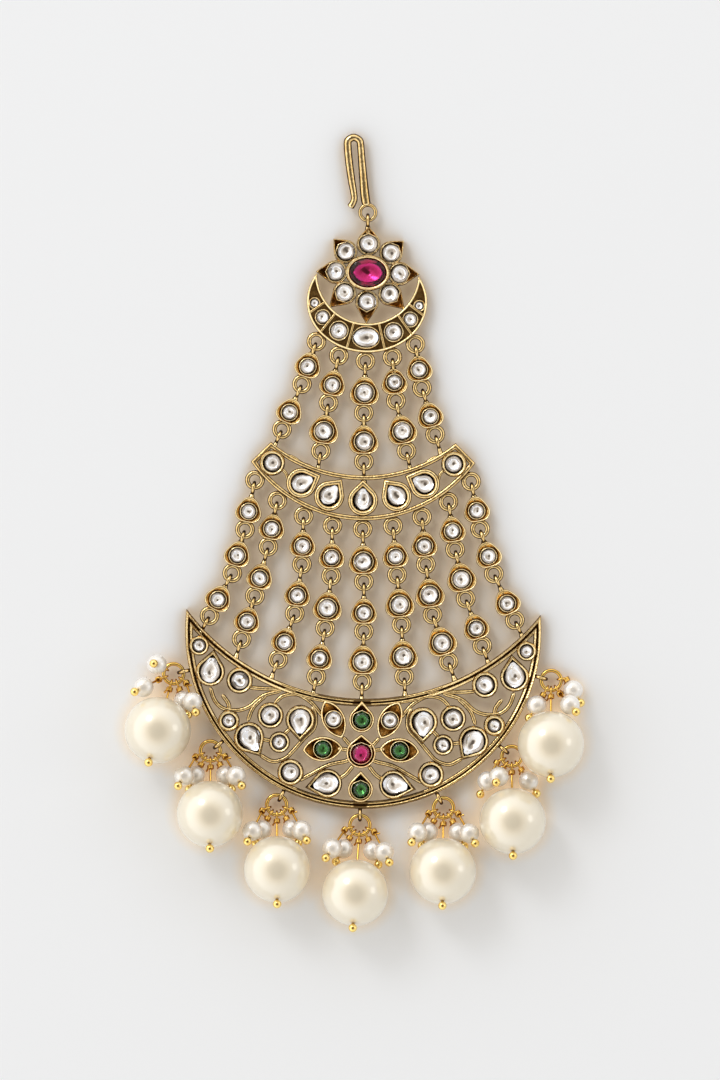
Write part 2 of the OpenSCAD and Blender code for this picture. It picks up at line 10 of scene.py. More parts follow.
import bmesh
import bpy
import numpy as np
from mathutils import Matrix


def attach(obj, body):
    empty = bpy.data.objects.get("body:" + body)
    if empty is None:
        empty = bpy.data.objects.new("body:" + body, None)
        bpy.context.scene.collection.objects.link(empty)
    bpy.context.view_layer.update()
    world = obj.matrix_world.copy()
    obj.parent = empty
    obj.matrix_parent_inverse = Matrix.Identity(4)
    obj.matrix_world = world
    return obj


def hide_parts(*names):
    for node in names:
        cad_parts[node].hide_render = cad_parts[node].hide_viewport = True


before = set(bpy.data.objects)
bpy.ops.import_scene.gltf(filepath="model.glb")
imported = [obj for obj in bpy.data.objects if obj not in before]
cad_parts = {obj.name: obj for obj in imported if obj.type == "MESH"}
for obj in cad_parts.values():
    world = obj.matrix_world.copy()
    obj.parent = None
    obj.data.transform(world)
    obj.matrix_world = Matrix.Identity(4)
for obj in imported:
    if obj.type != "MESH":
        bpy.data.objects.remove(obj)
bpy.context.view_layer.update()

# %% [markdown]
# The photograph looks straight down. A long lens far away keeps the pearls round at the edges
# of the picture. A short lens would lean them outwards, so the camera stands high instead.

# %% Camera
MM = 0.001
VIEW_CENTRE = (0.7, -1.5)
VIEW_HEIGHT = 195.5
CAMERA_HEIGHT = 1200.0

lens = bpy.data.cameras.new("camera")
lens.sensor_fit = "VERTICAL"
lens.sensor_height = 24.0
lens.lens = lens.sensor_height * CAMERA_HEIGHT / VIEW_HEIGHT
lens.clip_end = 10.0
camera = bpy.data.objects.new("camera", lens)
camera.location = (VIEW_CENTRE[0] * MM, VIEW_CENTRE[1] * MM, CAMERA_HEIGHT * MM)
bpy.context.scene.collection.objects.link(camera)
bpy.context.scene.camera = camera
print("lens in mm:", round(lens.lens, 1))

# %% [markdown]
# Two softboxes light the piece. The key stands up and to the left, where it puts the main
# highlight on each pearl, and a weaker one fills in from the right. Both are far away, so that
# the light is even over the whole piece, and wide, so that its shadows have soft edges.

# %% Softboxes
BOX_AWAY = 1600


def softbox(name, direction, size, watts, colour):
    """A round softbox that faces the piece."""
    light = bpy.data.lights.new(name, "AREA")
    light.shape = "DISK"
    light.size = size * MM
    light.energy = watts
    light.color = colour
    box = bpy.data.objects.new(name, light)
    aim = np.array(direction) / np.linalg.norm(direction)
    box.location = aim * BOX_AWAY * MM
    box.rotation_euler = box.location.to_track_quat("Z", "Y").to_euler()
    bpy.context.scene.collection.objects.link(box)
    print(name, "softbox:", watts, "W")


softbox("key", (-0.46, 0.63, 0.62), 520, 3.9, (1.0, 1.0, 1.0))
softbox("fill", (0.86, 0.1, 0.4), 600, 0.9, (1.0, 0.98, 0.95))

# %% [markdown]
# Polished metal shows what stands round it more than its own colour, so the surroundings come
# before any gold. They are a tent of white cloth with bright walls and a dim, warm top, made as
# a gradient from the horizon to straight up. A point between two chains sees mostly the top, so
# the shadows there turn tan. A flat piece of gold mirrors the top, so its bevels stand out
# against it. The left side of the tent is a little brighter than the right.

# %% Sky
WALL = (0.95, 0.97, 1.0)
SLOPE = (0.85, 0.8, 0.72)
SHOULDER = (0.48, 0.41, 0.33)
TENT_TOP = (0.1, 0.08, 0.06)
SKY_STRENGTH = 1.31
BRIGHTER_SIDE = (-0.35, 0.15, 0.0)


def wire_up(owner, pairs):
    """Joins pairs of sockets in a material or a world."""
    for a, b in pairs:
        owner.node_tree.links.new(a, b)


def grade(owner, factor, stops):
    """Colours along a value from 0 to 1."""
    ramp = owner.node_tree.nodes.new("ShaderNodeValToRGB")
    elements = ramp.color_ramp.elements
    elements[0].position, elements[0].color = stops[0][0], (*stops[0][1], 1)
    elements[1].position, elements[1].color = stops[-1][0], (*stops[-1][1], 1)
    for place, colour in stops[1:-1]:
        elements.new(place).color = (*colour, 1)
    wire_up(owner, [(factor, ramp.inputs[0])])
    return ramp


world = bpy.data.worlds.new("studio")
bpy.context.scene.world = world
world.use_nodes = True
sky = world.node_tree.nodes
direction = sky.new("ShaderNodeTexCoord")
height = sky.new("ShaderNodeSeparateXYZ")
shades = grade(world, height.outputs["Z"], [
    (0.0, WALL), (0.5, WALL), (0.7, SLOPE), (0.84, SHOULDER), (0.93, TENT_TOP), (1.0, TENT_TOP)])
lean = sky.new("ShaderNodeVectorMath")
lean.operation = "DOT_PRODUCT"
lean.inputs[1].default_value = BRIGHTER_SIDE
strength = sky.new("ShaderNodeMath")
strength.operation = "ADD"
strength.inputs[1].default_value = SKY_STRENGTH
wire_up(world, [(direction.outputs["Generated"], height.inputs[0]),
                (direction.outputs["Generated"], lean.inputs[0]),
                (lean.outputs["Value"], strength.inputs[0]),
                (strength.outputs[0], sky["Background"].inputs["Strength"]),
                (shades.outputs[0], sky["Background"].inputs[0])])
bpy.context.scene.view_settings.view_transform = "Standard"
print("sky strength straight up:", SKY_STRENGTH)

# %% [markdown]
# The table is one plane. It lies a hair under the flat backs of the castings, because two
# surfaces at one height would flicker through each other.

# %% Table
bpy.ops.mesh.primitive_plane_add(size=3.0, location=(0, 0, -0.02 * MM))
table = bpy.context.object
table.name = "table"
print("table at", round(table.location.z / MM, 3), "mm")

# %% [markdown]
# Every finish starts as the same shader with a few sockets set. What is even over a surface is
# set on the socket, and only what varies gets nodes. Noise that is fixed to the piece serves both
# as cloudy colour and as a fine bump.

# %% Finishes
def finish(name, colour, **sockets):
    """A new material and its main shader."""
    material = bpy.data.materials.new(name)
    material.use_nodes = True
    shader = material.node_tree.nodes["Principled BSDF"]
    shader.inputs["Base Color"].default_value = (*colour, 1)
    for socket, value in sockets.items():
        shader.inputs[socket.replace("_", " ")].default_value = value
    return material, shader


def speckle(material, scale, detail):
    """Noise fixed to the piece. The scale is how many grains fit in a metre."""
    nodes = material.node_tree.nodes
    place = nodes.new("ShaderNodeTexCoord")
    grain = nodes.new("ShaderNodeTexNoise")
    grain.inputs["Scale"].default_value = scale
    grain.inputs["Detail"].default_value = detail
    wire_up(material, [(place.outputs["Object"], grain.inputs["Vector"])])
    return grain


def pit(material, shader, grain, depth):
    """A fine bump from the noise."""
    bump = material.node_tree.nodes.new("ShaderNodeBump")
    bump.inputs["Distance"].default_value = depth * MM
    bump.inputs["Strength"].default_value = 1.0
    wire_up(material, [(grain.outputs["Fac"], bump.inputs["Height"]),
                       (bump.outputs["Normal"], shader.inputs["Normal"])])


print("materials before the first finish:", len(bpy.data.materials))

# %% [markdown]
# Antique gold is a gilded casting under a dark wash that was rubbed off again. Polish reaches the
# crests, and the dark patina stays in the hollows. Painting that would take a picture for each
# casting. Here each mesh carries a value named polish at every point instead, from 0 in a hollow
# to 1 on a crest, and the value picks both the colour and the gloss. Wire on the drops is new
# and bright all over, so its darkest stop is still gold.

# %% Gold
CLOUD_SIZE = 0.35  # the clouds' scale, as a share of the grain's
CLOUD_SWAY = 0.5


def metal(name, stops, rough, grain_scale, depth):
    """Cast or drawn metal whose colour and gloss follow its polish."""
    material, shader = finish(name, stops[-1][1], Metallic=1.0)
    nodes = material.node_tree.nodes
    relief = nodes.new("ShaderNodeAttribute")
    relief.attribute_name = "polish"
    cloud = speckle(material, grain_scale * CLOUD_SIZE, 4.0)
    clouded = nodes.new("ShaderNodeMath")
    clouded.operation = "MULTIPLY_ADD"
    clouded.inputs[1].default_value = CLOUD_SWAY
    centred = nodes.new("ShaderNodeMath")
    centred.operation = "SUBTRACT"
    centred.inputs[1].default_value = CLOUD_SWAY / 2
    centred.use_clamp = True
    wire_up(material, [(cloud.outputs["Fac"], clouded.inputs[0]),
                       (relief.outputs["Fac"], clouded.inputs[2]),
                       (clouded.outputs[0], centred.inputs[0])])
    ramp = grade(material, centred.outputs[0], stops)
    gloss = nodes.new("ShaderNodeMapRange")
    gloss.inputs["To Min"].default_value = rough[0]
    gloss.inputs["To Max"].default_value = rough[1]
    wire_up(material, [(ramp.outputs[0], shader.inputs["Base Color"]),
                       (centred.outputs[0], gloss.inputs["Value"]),
                       (gloss.outputs[0], shader.inputs["Roughness"])])
    pit(material, shader, speckle(material, grain_scale, 3.0), depth)
    return material


ANTIQUE = metal("antique_gold", [
    (0.0, (0.03, 0.013, 0.004)), (0.28, (0.16, 0.083, 0.022)),
    (0.55, (0.86, 0.56, 0.2)), (1.0, (1.0, 0.83, 0.47))], (0.36, 0.09), 2700, 0.07)
WARM = metal("warm_gold", [
    (0.0, (0.03, 0.014, 0.004)), (0.28, (0.15, 0.082, 0.022)),
    (0.55, (0.8, 0.53, 0.19)), (1.0, (1.0, 0.82, 0.46))], (0.34, 0.08), 2900, 0.05)
BRIGHT = metal("bright_gold", [
    (0.0, (0.42, 0.18, 0.02)), (0.5, (0.92, 0.54, 0.1)),
    (1.0, (1.0, 0.75, 0.26))], (0.3, 0.12), 2500, 0.004)
print("metals: antique for castings, warm for chain links, bright for drop wires")

# %% [markdown]
# The stones are cut glass over foil: clear over silver, and tinted glass over tinted foil. An
# imitation pearl is a bead under many coats of pearly lacquer. A little metal in the shader gives
# the sheen from inside, and the clear coat gives the sharp highlight on top. The coat of the big
# pearls bends light more, so it mirrors more too, and their highlight is a bright spot.

# %% Glass, foil and pearls
def glass(name, colour, bending):
    """Clear or tinted glass."""
    return finish(name, colour, Roughness=0.02, IOR=bending, Transmission_Weight=1.0)[0]


def foil(name, colour, roughness):
    """The mirror behind a stone."""
    return finish(name, colour, Roughness=roughness, Metallic=1.0)[0]


CLEAR = glass("clear_glass", (0.97, 0.97, 0.98), 1.52)
SILVER_FOIL = foil("silver_foil", (0.93, 0.93, 0.94), 0.04)
RED = glass("magenta_glass", (0.9, 0.36, 0.62), 1.55)
RED_FOIL = foil("magenta_foil", (0.62, 0.09, 0.29), 0.12)
GREEN = glass("green_glass", (0.42, 0.62, 0.4), 1.55)
GREEN_FOIL = foil("green_foil", (0.13, 0.31, 0.13), 0.12)
CREAM = finish("cream_pearl", (0.87, 0.79, 0.62), Roughness=0.34, Metallic=0.17, Specular_IOR_Level=0.6,
               Coat_Weight=1.0, Coat_Roughness=0.09, Coat_IOR=2.0)[0]
WHITE = finish("white_pearl", (0.9, 0.86, 0.8), Roughness=0.25, Metallic=0.3, Specular_IOR_Level=0.7,
               Coat_Weight=0.8, Coat_Roughness=0.06)[0]
print("for stones and pearls:", CLEAR.name, RED.name, GREEN.name, CREAM.name, WHITE.name)

# %% [markdown]
# The piece lies on a sheet of paper, a cool white against the warm sky. Bounced light tints the
# sheet tan where something shades it, but only a little, so a ramp paints a tan shade on top. In
# the deepest shade an emission paints a glow, for the light that leaks in from all sides. The
# ambient occlusion node measures how shaded each point is, and both follow it.

# %% Paper
SHEET = (0.894, 0.923, 0.961)
SHADE_REACH = 5

PAPER, paper_shader = finish("paper", SHEET, Roughness=0.9, Specular_IOR_Level=0.0)
open_sky = PAPER.node_tree.nodes.new("ShaderNodeAmbientOcclusion")
open_sky.inputs["Distance"].default_value = SHADE_REACH * MM
# Painted shade: the sheet's colour turns tan where it is shaded.
painted_shade_ramp = grade(PAPER, open_sky.outputs["AO"], [
    (0.2, (0.93, 0.75, 0.52)), (0.6, (0.93, 0.82, 0.68)), (0.9, SHEET)])
# Painted glow: an emission in the deepest shade, though the sheet is no lamp.
painted_glow_ramp = grade(PAPER, open_sky.outputs["AO"], [
    (0.2, (0.32, 0.245, 0.16)), (0.42, (0.115, 0.088, 0.06)), (0.65, (0.0, 0.0, 0.0))])
paper_shader.inputs["Emission Strength"].default_value = 1.0
wire_up(PAPER, [(painted_shade_ramp.outputs[0], paper_shader.inputs["Base Color"]),
                (painted_glow_ramp.outputs[0], paper_shader.inputs["Emission Color"])])
table.data.materials.append(PAPER)
print("materials now:", len(bpy.data.materials))

# %% [markdown]
# A casting is a skin over a row of outlines, one above the other. A small class collects the
# outlines and joins each to the next with quads. It stays in millimetres until the mesh is made.
# Modelling it as points, and not with modifiers, keeps each crest exactly where it belongs.

# %% A skin over outlines
SHARP = math.radians(50)


class Skin:
    """The points, faces and polish of one piece."""

    def __init__(self, *materials):
        self.materials = materials
        self.points, self.polish, self.faces, self.face_material, self.flat = [], [], [], [], []
        self.count = 0

    def add(self, points, polish):
        """Adds points, and says at which number they start."""
        start = self.count
        self.points.append(np.asarray(points, float))
        self.polish.append(np.broadcast_to(polish, len(points)).astype(float))
        self.count += len(points)
        return start

    def face(self, corners, material=0, flat=False):
        """Adds one face."""
        self.faces.append(tuple(int(c) for c in corners))
        self.face_material.append(material)
        self.flat.append(flat)

    def over(self, rings, polish, joined=False):
        """Joins closed rings of points. A joined row ends where it began, and any other gets caps."""
        n = len(rings[0])
        starts = [self.add(ring, p) for ring, p in zip(rings, polish)]
        rows = list(zip(starts, starts[1:])) + ([(starts[-1], starts[0])] if joined else [])
        for low, high in rows:
            for k in range(n):
                k2 = (k + 1) % n
                self.face((low + k, low + k2, high + k2, high + k))
        if not joined:
            self.face([starts[0] + k for k in reversed(range(n))])
            self.face([starts[-1] + k for k in range(n)])

    def make(self, name, slot, nodes):
        """Makes the mesh and its object, and hides the CAD nodes that it replaces."""
        mesh = bpy.data.meshes.new(name)
        mesh.from_pydata((np.vstack(self.points) * MM).tolist(), [], self.faces)
        for material in self.materials:
            mesh.materials.append(material)
        mesh.polygons.foreach_set("material_index", self.face_material)
        mesh.polygons.foreach_set("use_smooth", [not f for f in self.flat])
        value = mesh.attributes.new("polish", "FLOAT", "POINT")
        value.data.foreach_set("value", np.concatenate(self.polish).astype(np.float32))
        shell = bmesh.new()
        shell.from_mesh(mesh)
        bmesh.ops.recalc_face_normals(shell, faces=shell.faces)
        shell.to_mesh(mesh)
        shell.free()
        mesh.set_sharp_from_angle(angle=SHARP)
        piece = bpy.data.objects.new(name, mesh)
        bpy.context.scene.collection.objects.link(piece)
        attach(piece, "root")
        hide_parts(*nodes)
        print(name, len(mesh.polygons), "faces")
        return piece


print("edges sharper than", round(math.degrees(SHARP)), "degrees stay sharp")

# %% [markdown]
# A jeweller sets out a piece with compass and protractor. Four helpers do the same with numbers:
# points on an arc, points once round, a step in a direction, and a shape turned and moved to its
# place. With them no casting has to be drawn where it lies, askew as in the photograph.

# %% Compass and protractor
def arc(radius, start, stop, steps, last=True):
    """Points along an arc, in degrees from +X."""
    a = np.radians(np.linspace(start, stop, steps, endpoint=last))
    return radius * np.column_stack([np.cos(a), np.sin(a)])


def circle(steps, radius=1):
    """Points once round."""
    return arc(radius, 0, 360, steps, False)


def toward(turn):
    """A step of 1 mm in a direction."""
    return arc(1, turn, turn, 1)[0]


def placed(points, centre, turn):
    """Turns points about Z, then moves them."""
    points = np.array(points, float)
    c, s = math.cos(math.radians(turn)), math.sin(math.radians(turn))
    points[:, :2] = points[:, :2] @ np.array([[c, s], [-s, c]]) + np.asarray(centre, float)[:2]
    return points


print("a step at 90 degrees:", toward(90).round(2).tolist())

# %% [markdown]
# Every outline is a function of its inset. An inset of 0 is the outer edge, and a larger one
# lies parallel to it, further in. One function then gives the wall, the crest and the inner
# edge of a setting, and they stay parallel.

# %% Outlines
SIDES = 40
CUP_POINT = 0.09  # how far a cup's corners stand out and its sides lie in, as a share of its radius


def oval(half_x, half_y=None):
    """An oval, or a circle."""
    return lambda inset=0: circle(SIDES) * [half_x - inset, (half_y or half_x) - inset]


def drop(radius, reach):
    """A circle with straight sides that meet in a tip."""
    spread = math.degrees(math.acos(radius / reach))

    def line(inset=0):
        share = (radius - inset) / radius
        return np.vstack([[0, reach], arc(radius, 90 + spread, 450 - spread, SIDES)]) * share
    return line


def leaf(half_long, half_wide):
    """Two arcs that meet in a point at each end."""
    bend = (half_long ** 2 + half_wide ** 2) / (2 * half_wide)

    def line(inset=0):
        r = bend - inset
        span = math.degrees(math.acos((bend - half_wide) / r))
        side = arc(r, -span, span, SIDES // 2, False) + [half_wide - bend, 0]
        return np.vstack([side, -side])
    return line


def cup(radius):
    """A rounded triangle, one corner up."""
    a = np.linspace(0, 360, SIDES, endpoint=False)
    share = 1 + CUP_POINT * np.cos(np.radians(3 * (a - 90)))
    return lambda inset=0: circle(SIDES) * (share * (radius - inset))[:, None]


def moon(outer_y, outer_r, inner_y, inner_r, steps):
    """The shape between two circles, from the left horn round the outside and back."""
    def line(inset=0):
        big, cut, apart = outer_r - inset, inner_r + inset, inner_y - outer_y
        rise = (big ** 2 - cut ** 2 + apart ** 2) / (2 * apart)
        out = math.degrees(math.asin(rise / big))
        back = math.degrees(math.asin((rise - apart) / cut))
        return np.vstack([arc(big, 180 - out, 360 + out, steps, False) + [0, outer_y],
                          arc(cut, back, -180 - back, steps, False) + [0, inner_y]])
    return line


print("points in an oval, a drop and a leaf:", len(oval(1)()), len(drop(1, 2)()), len(leaf(2, 1)()))

# %% [markdown]
# A setting is one outline with a profile: each row gives the inset, the height and the polish.
# The wall starts dark at its foot, the crest is bright, and a dark line runs round the stone.

# %% Settings
RIM = 2.3
SETTING = 2.6
SEAT = 0.9


def profiled(skin, line, rows, centre, turn):
    """Lays a profile along an outline."""
    rings = []
    for inset, z, _ in rows:
        flat = placed(line(inset), centre, turn)
        rings.append(np.column_stack([flat, np.full(len(flat), z)]))
    skin.over(rings, [row[2] for row in rows])


def collar(wall, top=SETTING):
    """The profile of a setting: a rounded wall round a seat."""
    return [(0.12, 0.0, 0.0), (0.0, 0.15, 0.0), (0.0, top - 0.7, 0.1), (0.03, top - 0.4, 0.2),
            (0.12 * wall, top - 0.17, 0.4), (0.34 * wall, top - 0.01, 1.0), (0.55 * wall, top - 0.03, 1.0),
            (0.76 * wall, top - 0.17, 0.5), (wall - 0.08, top - 0.36, 0.05), (wall, top - 0.5, 0.0),
            (wall, SEAT, 0.0)]


def nest(skin, line, rows, gem, top, centre, turn, shift=(0, 0), foot=1.6):
    """A well that slopes down to a thin collar round a stone. The shift moves the stone in the well."""
    profile = [(line(inset), z, shine) for inset, z, shine in rows]
    way = line() - np.asarray(shift)
    way /= np.linalg.norm(way, axis=1)[:, None]
    collar_rows = [(0.27, foot, 0.3), (0.24, top - 0.12, 0.5), (0.19, top - 0.02, 0.95), (0.12, top, 1.0),
                   (0.06, top - 0.07, 0.5), (0.01, top - 0.24, 0.0), (0.0, SEAT, 0.0)]
    for extra, z, shine in collar_rows:
        profile.append((way * (np.asarray(gem) + extra) + shift, z, shine))
    rings = [np.column_stack([placed(flat, centre, turn), np.full(len(flat), z)]) for flat, z, _ in profile]
    skin.over(rings, [p[2] for p in profile])


print("rows in a setting's profile:", len(collar(1.0)))

# %% [markdown]
# Rings, loops and necks are round wires. A thumb rubs the top of a wire bright and never reaches
# its sides, and the dark sides are what sets a thin wire off from the table. A torus from the menu
# would have no polish on its points, so a ring is a circle swept round here.

# %% Rings
RING_Z = 1.4
RING_STEPS, RING_SIDES = 32, 12
DARK_BELOW, BRIGHT_ABOVE = 0.58, 0.98  # of the way from the middle of a wire to its top


def worn(rise):
    """The polish of a round wire: bright on its back and dark along its sides."""
    return np.clip((np.asarray(rise) - DARK_BELOW) / (BRIGHT_ABOVE - DARK_BELOW), 0.0, 1.0)


def ring(skin, centre, radius, wire):
    """A face-on ring."""
    section = circle(RING_SIDES, wire / 2)
    spot = np.asarray(centre)[:2]
    rings = [np.column_stack([np.outer(radius + section[:, 0], t) + spot, RING_Z + section[:, 1]])
             for t in circle(RING_STEPS)]
    shine = worn(section[:, 1] / (wire / 2))
    skin.over(rings, [shine] * RING_STEPS, joined=True)


print("polish at the side, at 45 degrees and on top:", worn([0.0, math.sqrt(0.5), 1.0]).round(2).tolist())

# %% [markdown]
# A neck, a pin or a loop on edge is a wire along any path. A curve could sweep it too, but each
# point needs its polish, so the sections are placed one by one. A section leans with the path and
# never twists round it, so the quads between two sections stay straight.

# %% Tubes
LOOP_STEPS = 24


def tube(skin, path, radii, sides=10, joined=False):
    """A round wire along any path. Each section leans halfway between its neighbours."""
    path = np.asarray(path, float)
    radii = np.broadcast_to(radii, len(path))
    ahead = np.roll(path, -1, 0) - np.roll(path, 1, 0)
    if not joined:
        ahead[0], ahead[-1] = path[1] - path[0], path[-1] - path[-2]
    ahead /= np.linalg.norm(ahead, axis=1)[:, None]
    side = np.cross(ahead[0], [0, 0, 1.0])
    if np.linalg.norm(side) < 1e-3:
        side = np.cross(ahead[0], [0, 1.0, 0])
    rings, polish = [], []
    for point, way, r in zip(path, ahead, radii):
        side = side - way * (side @ way)
        side /= np.linalg.norm(side)
        up = np.cross(side, way)
        section = circle(sides, r)
        rings.append(point + np.outer(section[:, 0], side) + np.outer(section[:, 1], up))
        polish.append(worn((rings[-1][:, 2] - point[2]) / r))
    skin.over(rings, polish, joined=joined)


def edge_loop(skin, centre, turn, radius, wire):
    """A loop that stands on edge, along its own +Y."""
    flat = circle(LOOP_STEPS, radius)
    path = np.column_stack([np.zeros(LOOP_STEPS), flat[:, 0], RING_Z + flat[:, 1]])
    tube(skin, placed(path, centre, turn), wire / 2, joined=True)


print("a loop on edge has", LOOP_STEPS, "sections")

# %% [markdown]
# A scroll is cast in one with its frame, so it is round above and square below, and it lies on its
# flat back. It is drawn as a few points, because a smooth curve runs through all of them and a
# row of many points would be hard to change.

# %% Scrolls
SCROLL_END = 0.55  # how wide a scroll is at its ends, as a share of its width


def smooth(points, steps=5):
    """A smooth curve through a few points."""
    p = np.asarray(points, float)
    p = np.vstack([2 * p[0] - p[1], p, 2 * p[-1] - p[-2]])
    t = np.linspace(0, 1, steps, endpoint=False)[:, None]
    runs = [0.5 * (2 * b + (c - a) * t + (2 * a - 5 * b + 4 * c - d) * t ** 2
                   + (3 * b - a - 3 * c + d) * t ** 3)
            for a, b, c, d in zip(p, p[1:], p[2:], p[3:])]
    return np.vstack(runs + [p[-2]])


def scroll(skin, points, width, top, centre, turn):
    """A cast wire that lies on its flat back: square below, round above."""
    path = smooth(points)
    ahead = np.gradient(path, axis=0)
    side = np.column_stack([-ahead[:, 1], ahead[:, 0]]) / np.linalg.norm(ahead, axis=1)[:, None]
    ends = np.ones(len(path))
    ends[[0, -1]] = SCROLL_END
    across, up = arc(1, 180, 0, 9).T
    across = np.concatenate([across / 2, [0.5, 0.4, -0.4, -0.5]])
    shine = np.concatenate([worn(up), [0.0, 0.0, 0.0, 0.0]])
    rings = []
    for point, out, end in zip(path, side, ends):
        crest = top - 0.45 * width * (1 - up * end)
        flat = placed([point + out * width * end * a for a in across], centre, turn)
        rings.append(np.column_stack([flat, np.concatenate([crest, [0.15, 0.0, 0.0, 0.15]])]))
    skin.over(rings, [shine] * len(rings))


print("points on a curve through three:", len(smooth([(0, 0), (1, 1), (2, 0)])))

# %% [markdown]
# A cut stone has a flat table, eight star facets, eight kites and sixteen girdle facets. Behind
# it lies foil. The facets below the girdle carry the foil as their own finish, so that light
# goes in through glass, mirrors off the foil and comes out through another facet.

# %% Stones
TABLE_SHARE, STAR_SHARE, STAR_RISE = 0.58, 0.8, 0.6
GIRDLE = 0.08
FOIL_SLOPE = math.tan(math.radians(20))
FOIL_LEVELS = [(0.56, 0.44), (0.43, 0.45), (0.2, 0.68)]  # share of the outline, and how far the foil fell
SWAY, TIP, UNEVEN = 0.13, 0.05, 0.24  # how far hand-laid foil strays: to a side, askew, at a corner
FACET_TURN = 11
by_hand = np.random.default_rng(11)


def stone(skin, rim, girdle_z, centre=(0, 0), turn=0, crown=0.3):
    """Material 0 is the glass and 1 the foil. The crown's height is a share of the half width."""
    n = len(rim)
    half = np.linalg.norm(rim, axis=1).min()
    crown *= half
    sway, tip = by_hand.uniform(-SWAY, SWAY, 2), by_hand.uniform(-TIP, TIP, 2)

    def level(points, share, z, foil=0.0):
        uneven = 1 + foil * by_hand.uniform(-UNEVEN, UNEVEN, len(points))
        flat = points * (share * uneven)[:, None] + sway * half * foil
        lift = girdle_z + z + foil * (flat @ tip)
        return skin.add(np.column_stack([placed(flat, centre, turn), lift]), 1.0)
    girdle = level(rim, 1.0, 0)
    star = level(rim[1::2], STAR_SHARE, STAR_RISE * crown)
    table = level(rim[0::2], TABLE_SHARE, crown)
    foot = level(rim, 1.0, -GIRDLE)
    outer, step, culet = (level(rim[1::2], share, -GIRDLE - fall * half * FOIL_SLOPE, 1.0)
                          for share, fall in FOIL_LEVELS)
    h = n // 2
    skin.face([table + j for j in range(h)], 0, True)
    for j in range(h):
        g, g1, g2, j2, jb = 2 * j, 2 * j + 1, (2 * j + 2) % n, (j + 1) % h, (j - 1) % h
        skin.face((table + j, star + j, table + j2), 0, True)
        skin.face((table + j, star + jb, girdle + g, star + j), 0, True)
        skin.face((star + j, girdle + g, girdle + g1), 0, True)
        skin.face((star + j, girdle + g1, girdle + g2), 0, True)
        skin.face((girdle + g, foot + g, foot + g1, girdle + g1), 0, True)
        skin.face((girdle + g1, foot + g1, foot + g2, girdle + g2), 0, True)
        skin.face((foot + g, outer + j, foot + g1), 1, True)
        skin.face((foot + g1, outer + j, foot + g2), 1, True)
        skin.face((foot + g2, outer + j, outer + j2), 1, True)
        skin.face((outer + j, step + j, step + j2, outer + j2), 1, True)
        skin.face((step + j, culet + j, culet + j2, step + j2), 1, True)
    skin.face([culet + j for j in range(h)], 1, True)


print("the foil falls", round(FOIL_SLOPE, 2), "mm in its first mm from the girdle")

# %% [markdown]
# A stone has to fit its wall, so its sixteen corners are laid evenly on the same kind of outline.
# All stones of one kind are one piece in the frame. Each kind is one skin, then, and it grows
# while the castings are made.

# %% Stones by kind
CORNERS = 16


def facets(line):
    """The corners of a stone, evenly spaced on its outline."""
    loop = line()
    loop = np.vstack([loop, loop[:1]])
    run = np.concatenate([[0], np.cumsum(np.linalg.norm(np.diff(loop, axis=0), axis=1))])
    at = np.linspace(0, run[-1], CORNERS, endpoint=False)
    return np.column_stack([np.interp(at, run, loop[:, 0]), np.interp(at, run, loop[:, 1])])


clear = {name: Skin(CLEAR, SILVER_FOIL) for name in (
    "petal_stones", "small_crescent_stones", "upper_chain_stones", "middle_band_stones",
    "lower_chain_stones", "crescent_stones")}
red = {name: Skin(RED, RED_FOIL) for name in ("flower_ruby", "crescent_ruby")}
green = {"crescent_emeralds": Skin(GREEN, GREEN_FOIL)}
print("stones of", len(clear) + len(red) + len(green), "kinds")

# %% [markdown]
# The frame knows where every link lies, so nothing is measured from the photograph again. A chain
# is one mesh of several loose solids. Faces that share a corner belong together, so corners are
# merged into groups until each solid is one group.

# %% Reading the solids
def loose_parts(node):
    """The points of each loose solid of a CAD node, in mm."""
    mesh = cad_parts[node].data
    points = np.array([v.co for v in mesh.vertices]) / MM
    keys = {}
    owner = [keys.setdefault(tuple(np.round(p, 3)), len(keys)) for p in points]
    root = list(range(len(keys)))

    def find(i):
        while root[i] != i:
            root[i] = root[root[i]]
            i = root[i]
        return i
    for face in mesh.polygons:
        corners = [owner[v] for v in face.vertices]
        for c in corners[1:]:
            root[find(c)] = find(corners[0])
    groups = {}
    for point, key in zip(points, owner):
        groups.setdefault(find(key), []).append(point)
    return [np.array(g) for g in groups.values()]


def far_tip(body, centre):
    """From the stone to the far side of the link's loop, and the link's turn."""
    flat = body[:, :2] - centre
    reach = np.where(flat[:, 1] > 0, np.linalg.norm(flat, axis=1), 0)
    tip = flat[reach > reach.max() - 0.03].mean(0)
    return tip, math.degrees(math.atan2(tip[1], tip[0])) - 90


def along_link(body, centre, tip):
    """How far each point of a link lies from its stone toward its loop."""
    return (body[:, :2] - centre) @ (tip / np.linalg.norm(tip))


stones_of = {}
for group in ("upper", "lower"):
    stones_of[group] = []
    for points in loose_parts(f"{group}_chain_stones"):
        middle = points[:, :2].mean(0)
        stones_of[group].append((middle, np.linalg.norm(points[:, :2] - middle, axis=1).max()))
    print(group, "chain stones:", len(stones_of[group]))


def own_stone(body, group):
    """The middle and radius of the stone that a link holds."""
    low, high = body[:, :2].min(0), body[:, :2].max(0)
    return next((at, r) for at, r in stones_of[group] if np.all(at > low) and np.all(at < high))


# %% [markdown]
# A link is one casting: a ring below, a rounded triangular cup with its stone, a neck, and a
# loop on edge that hangs in the ring above. One link could be modelled and copied, but no two
# chains hang quite alike, so each is worked out from its own solid. Its stone gives its place,
# and the far end of its loop gives its direction. The cup stands on its own ring and keeps clear
# of the ring above, so its middle can lie a little off the stone. It is a shallow well with a
# bright lip, and the stone stands in it in a thin collar.

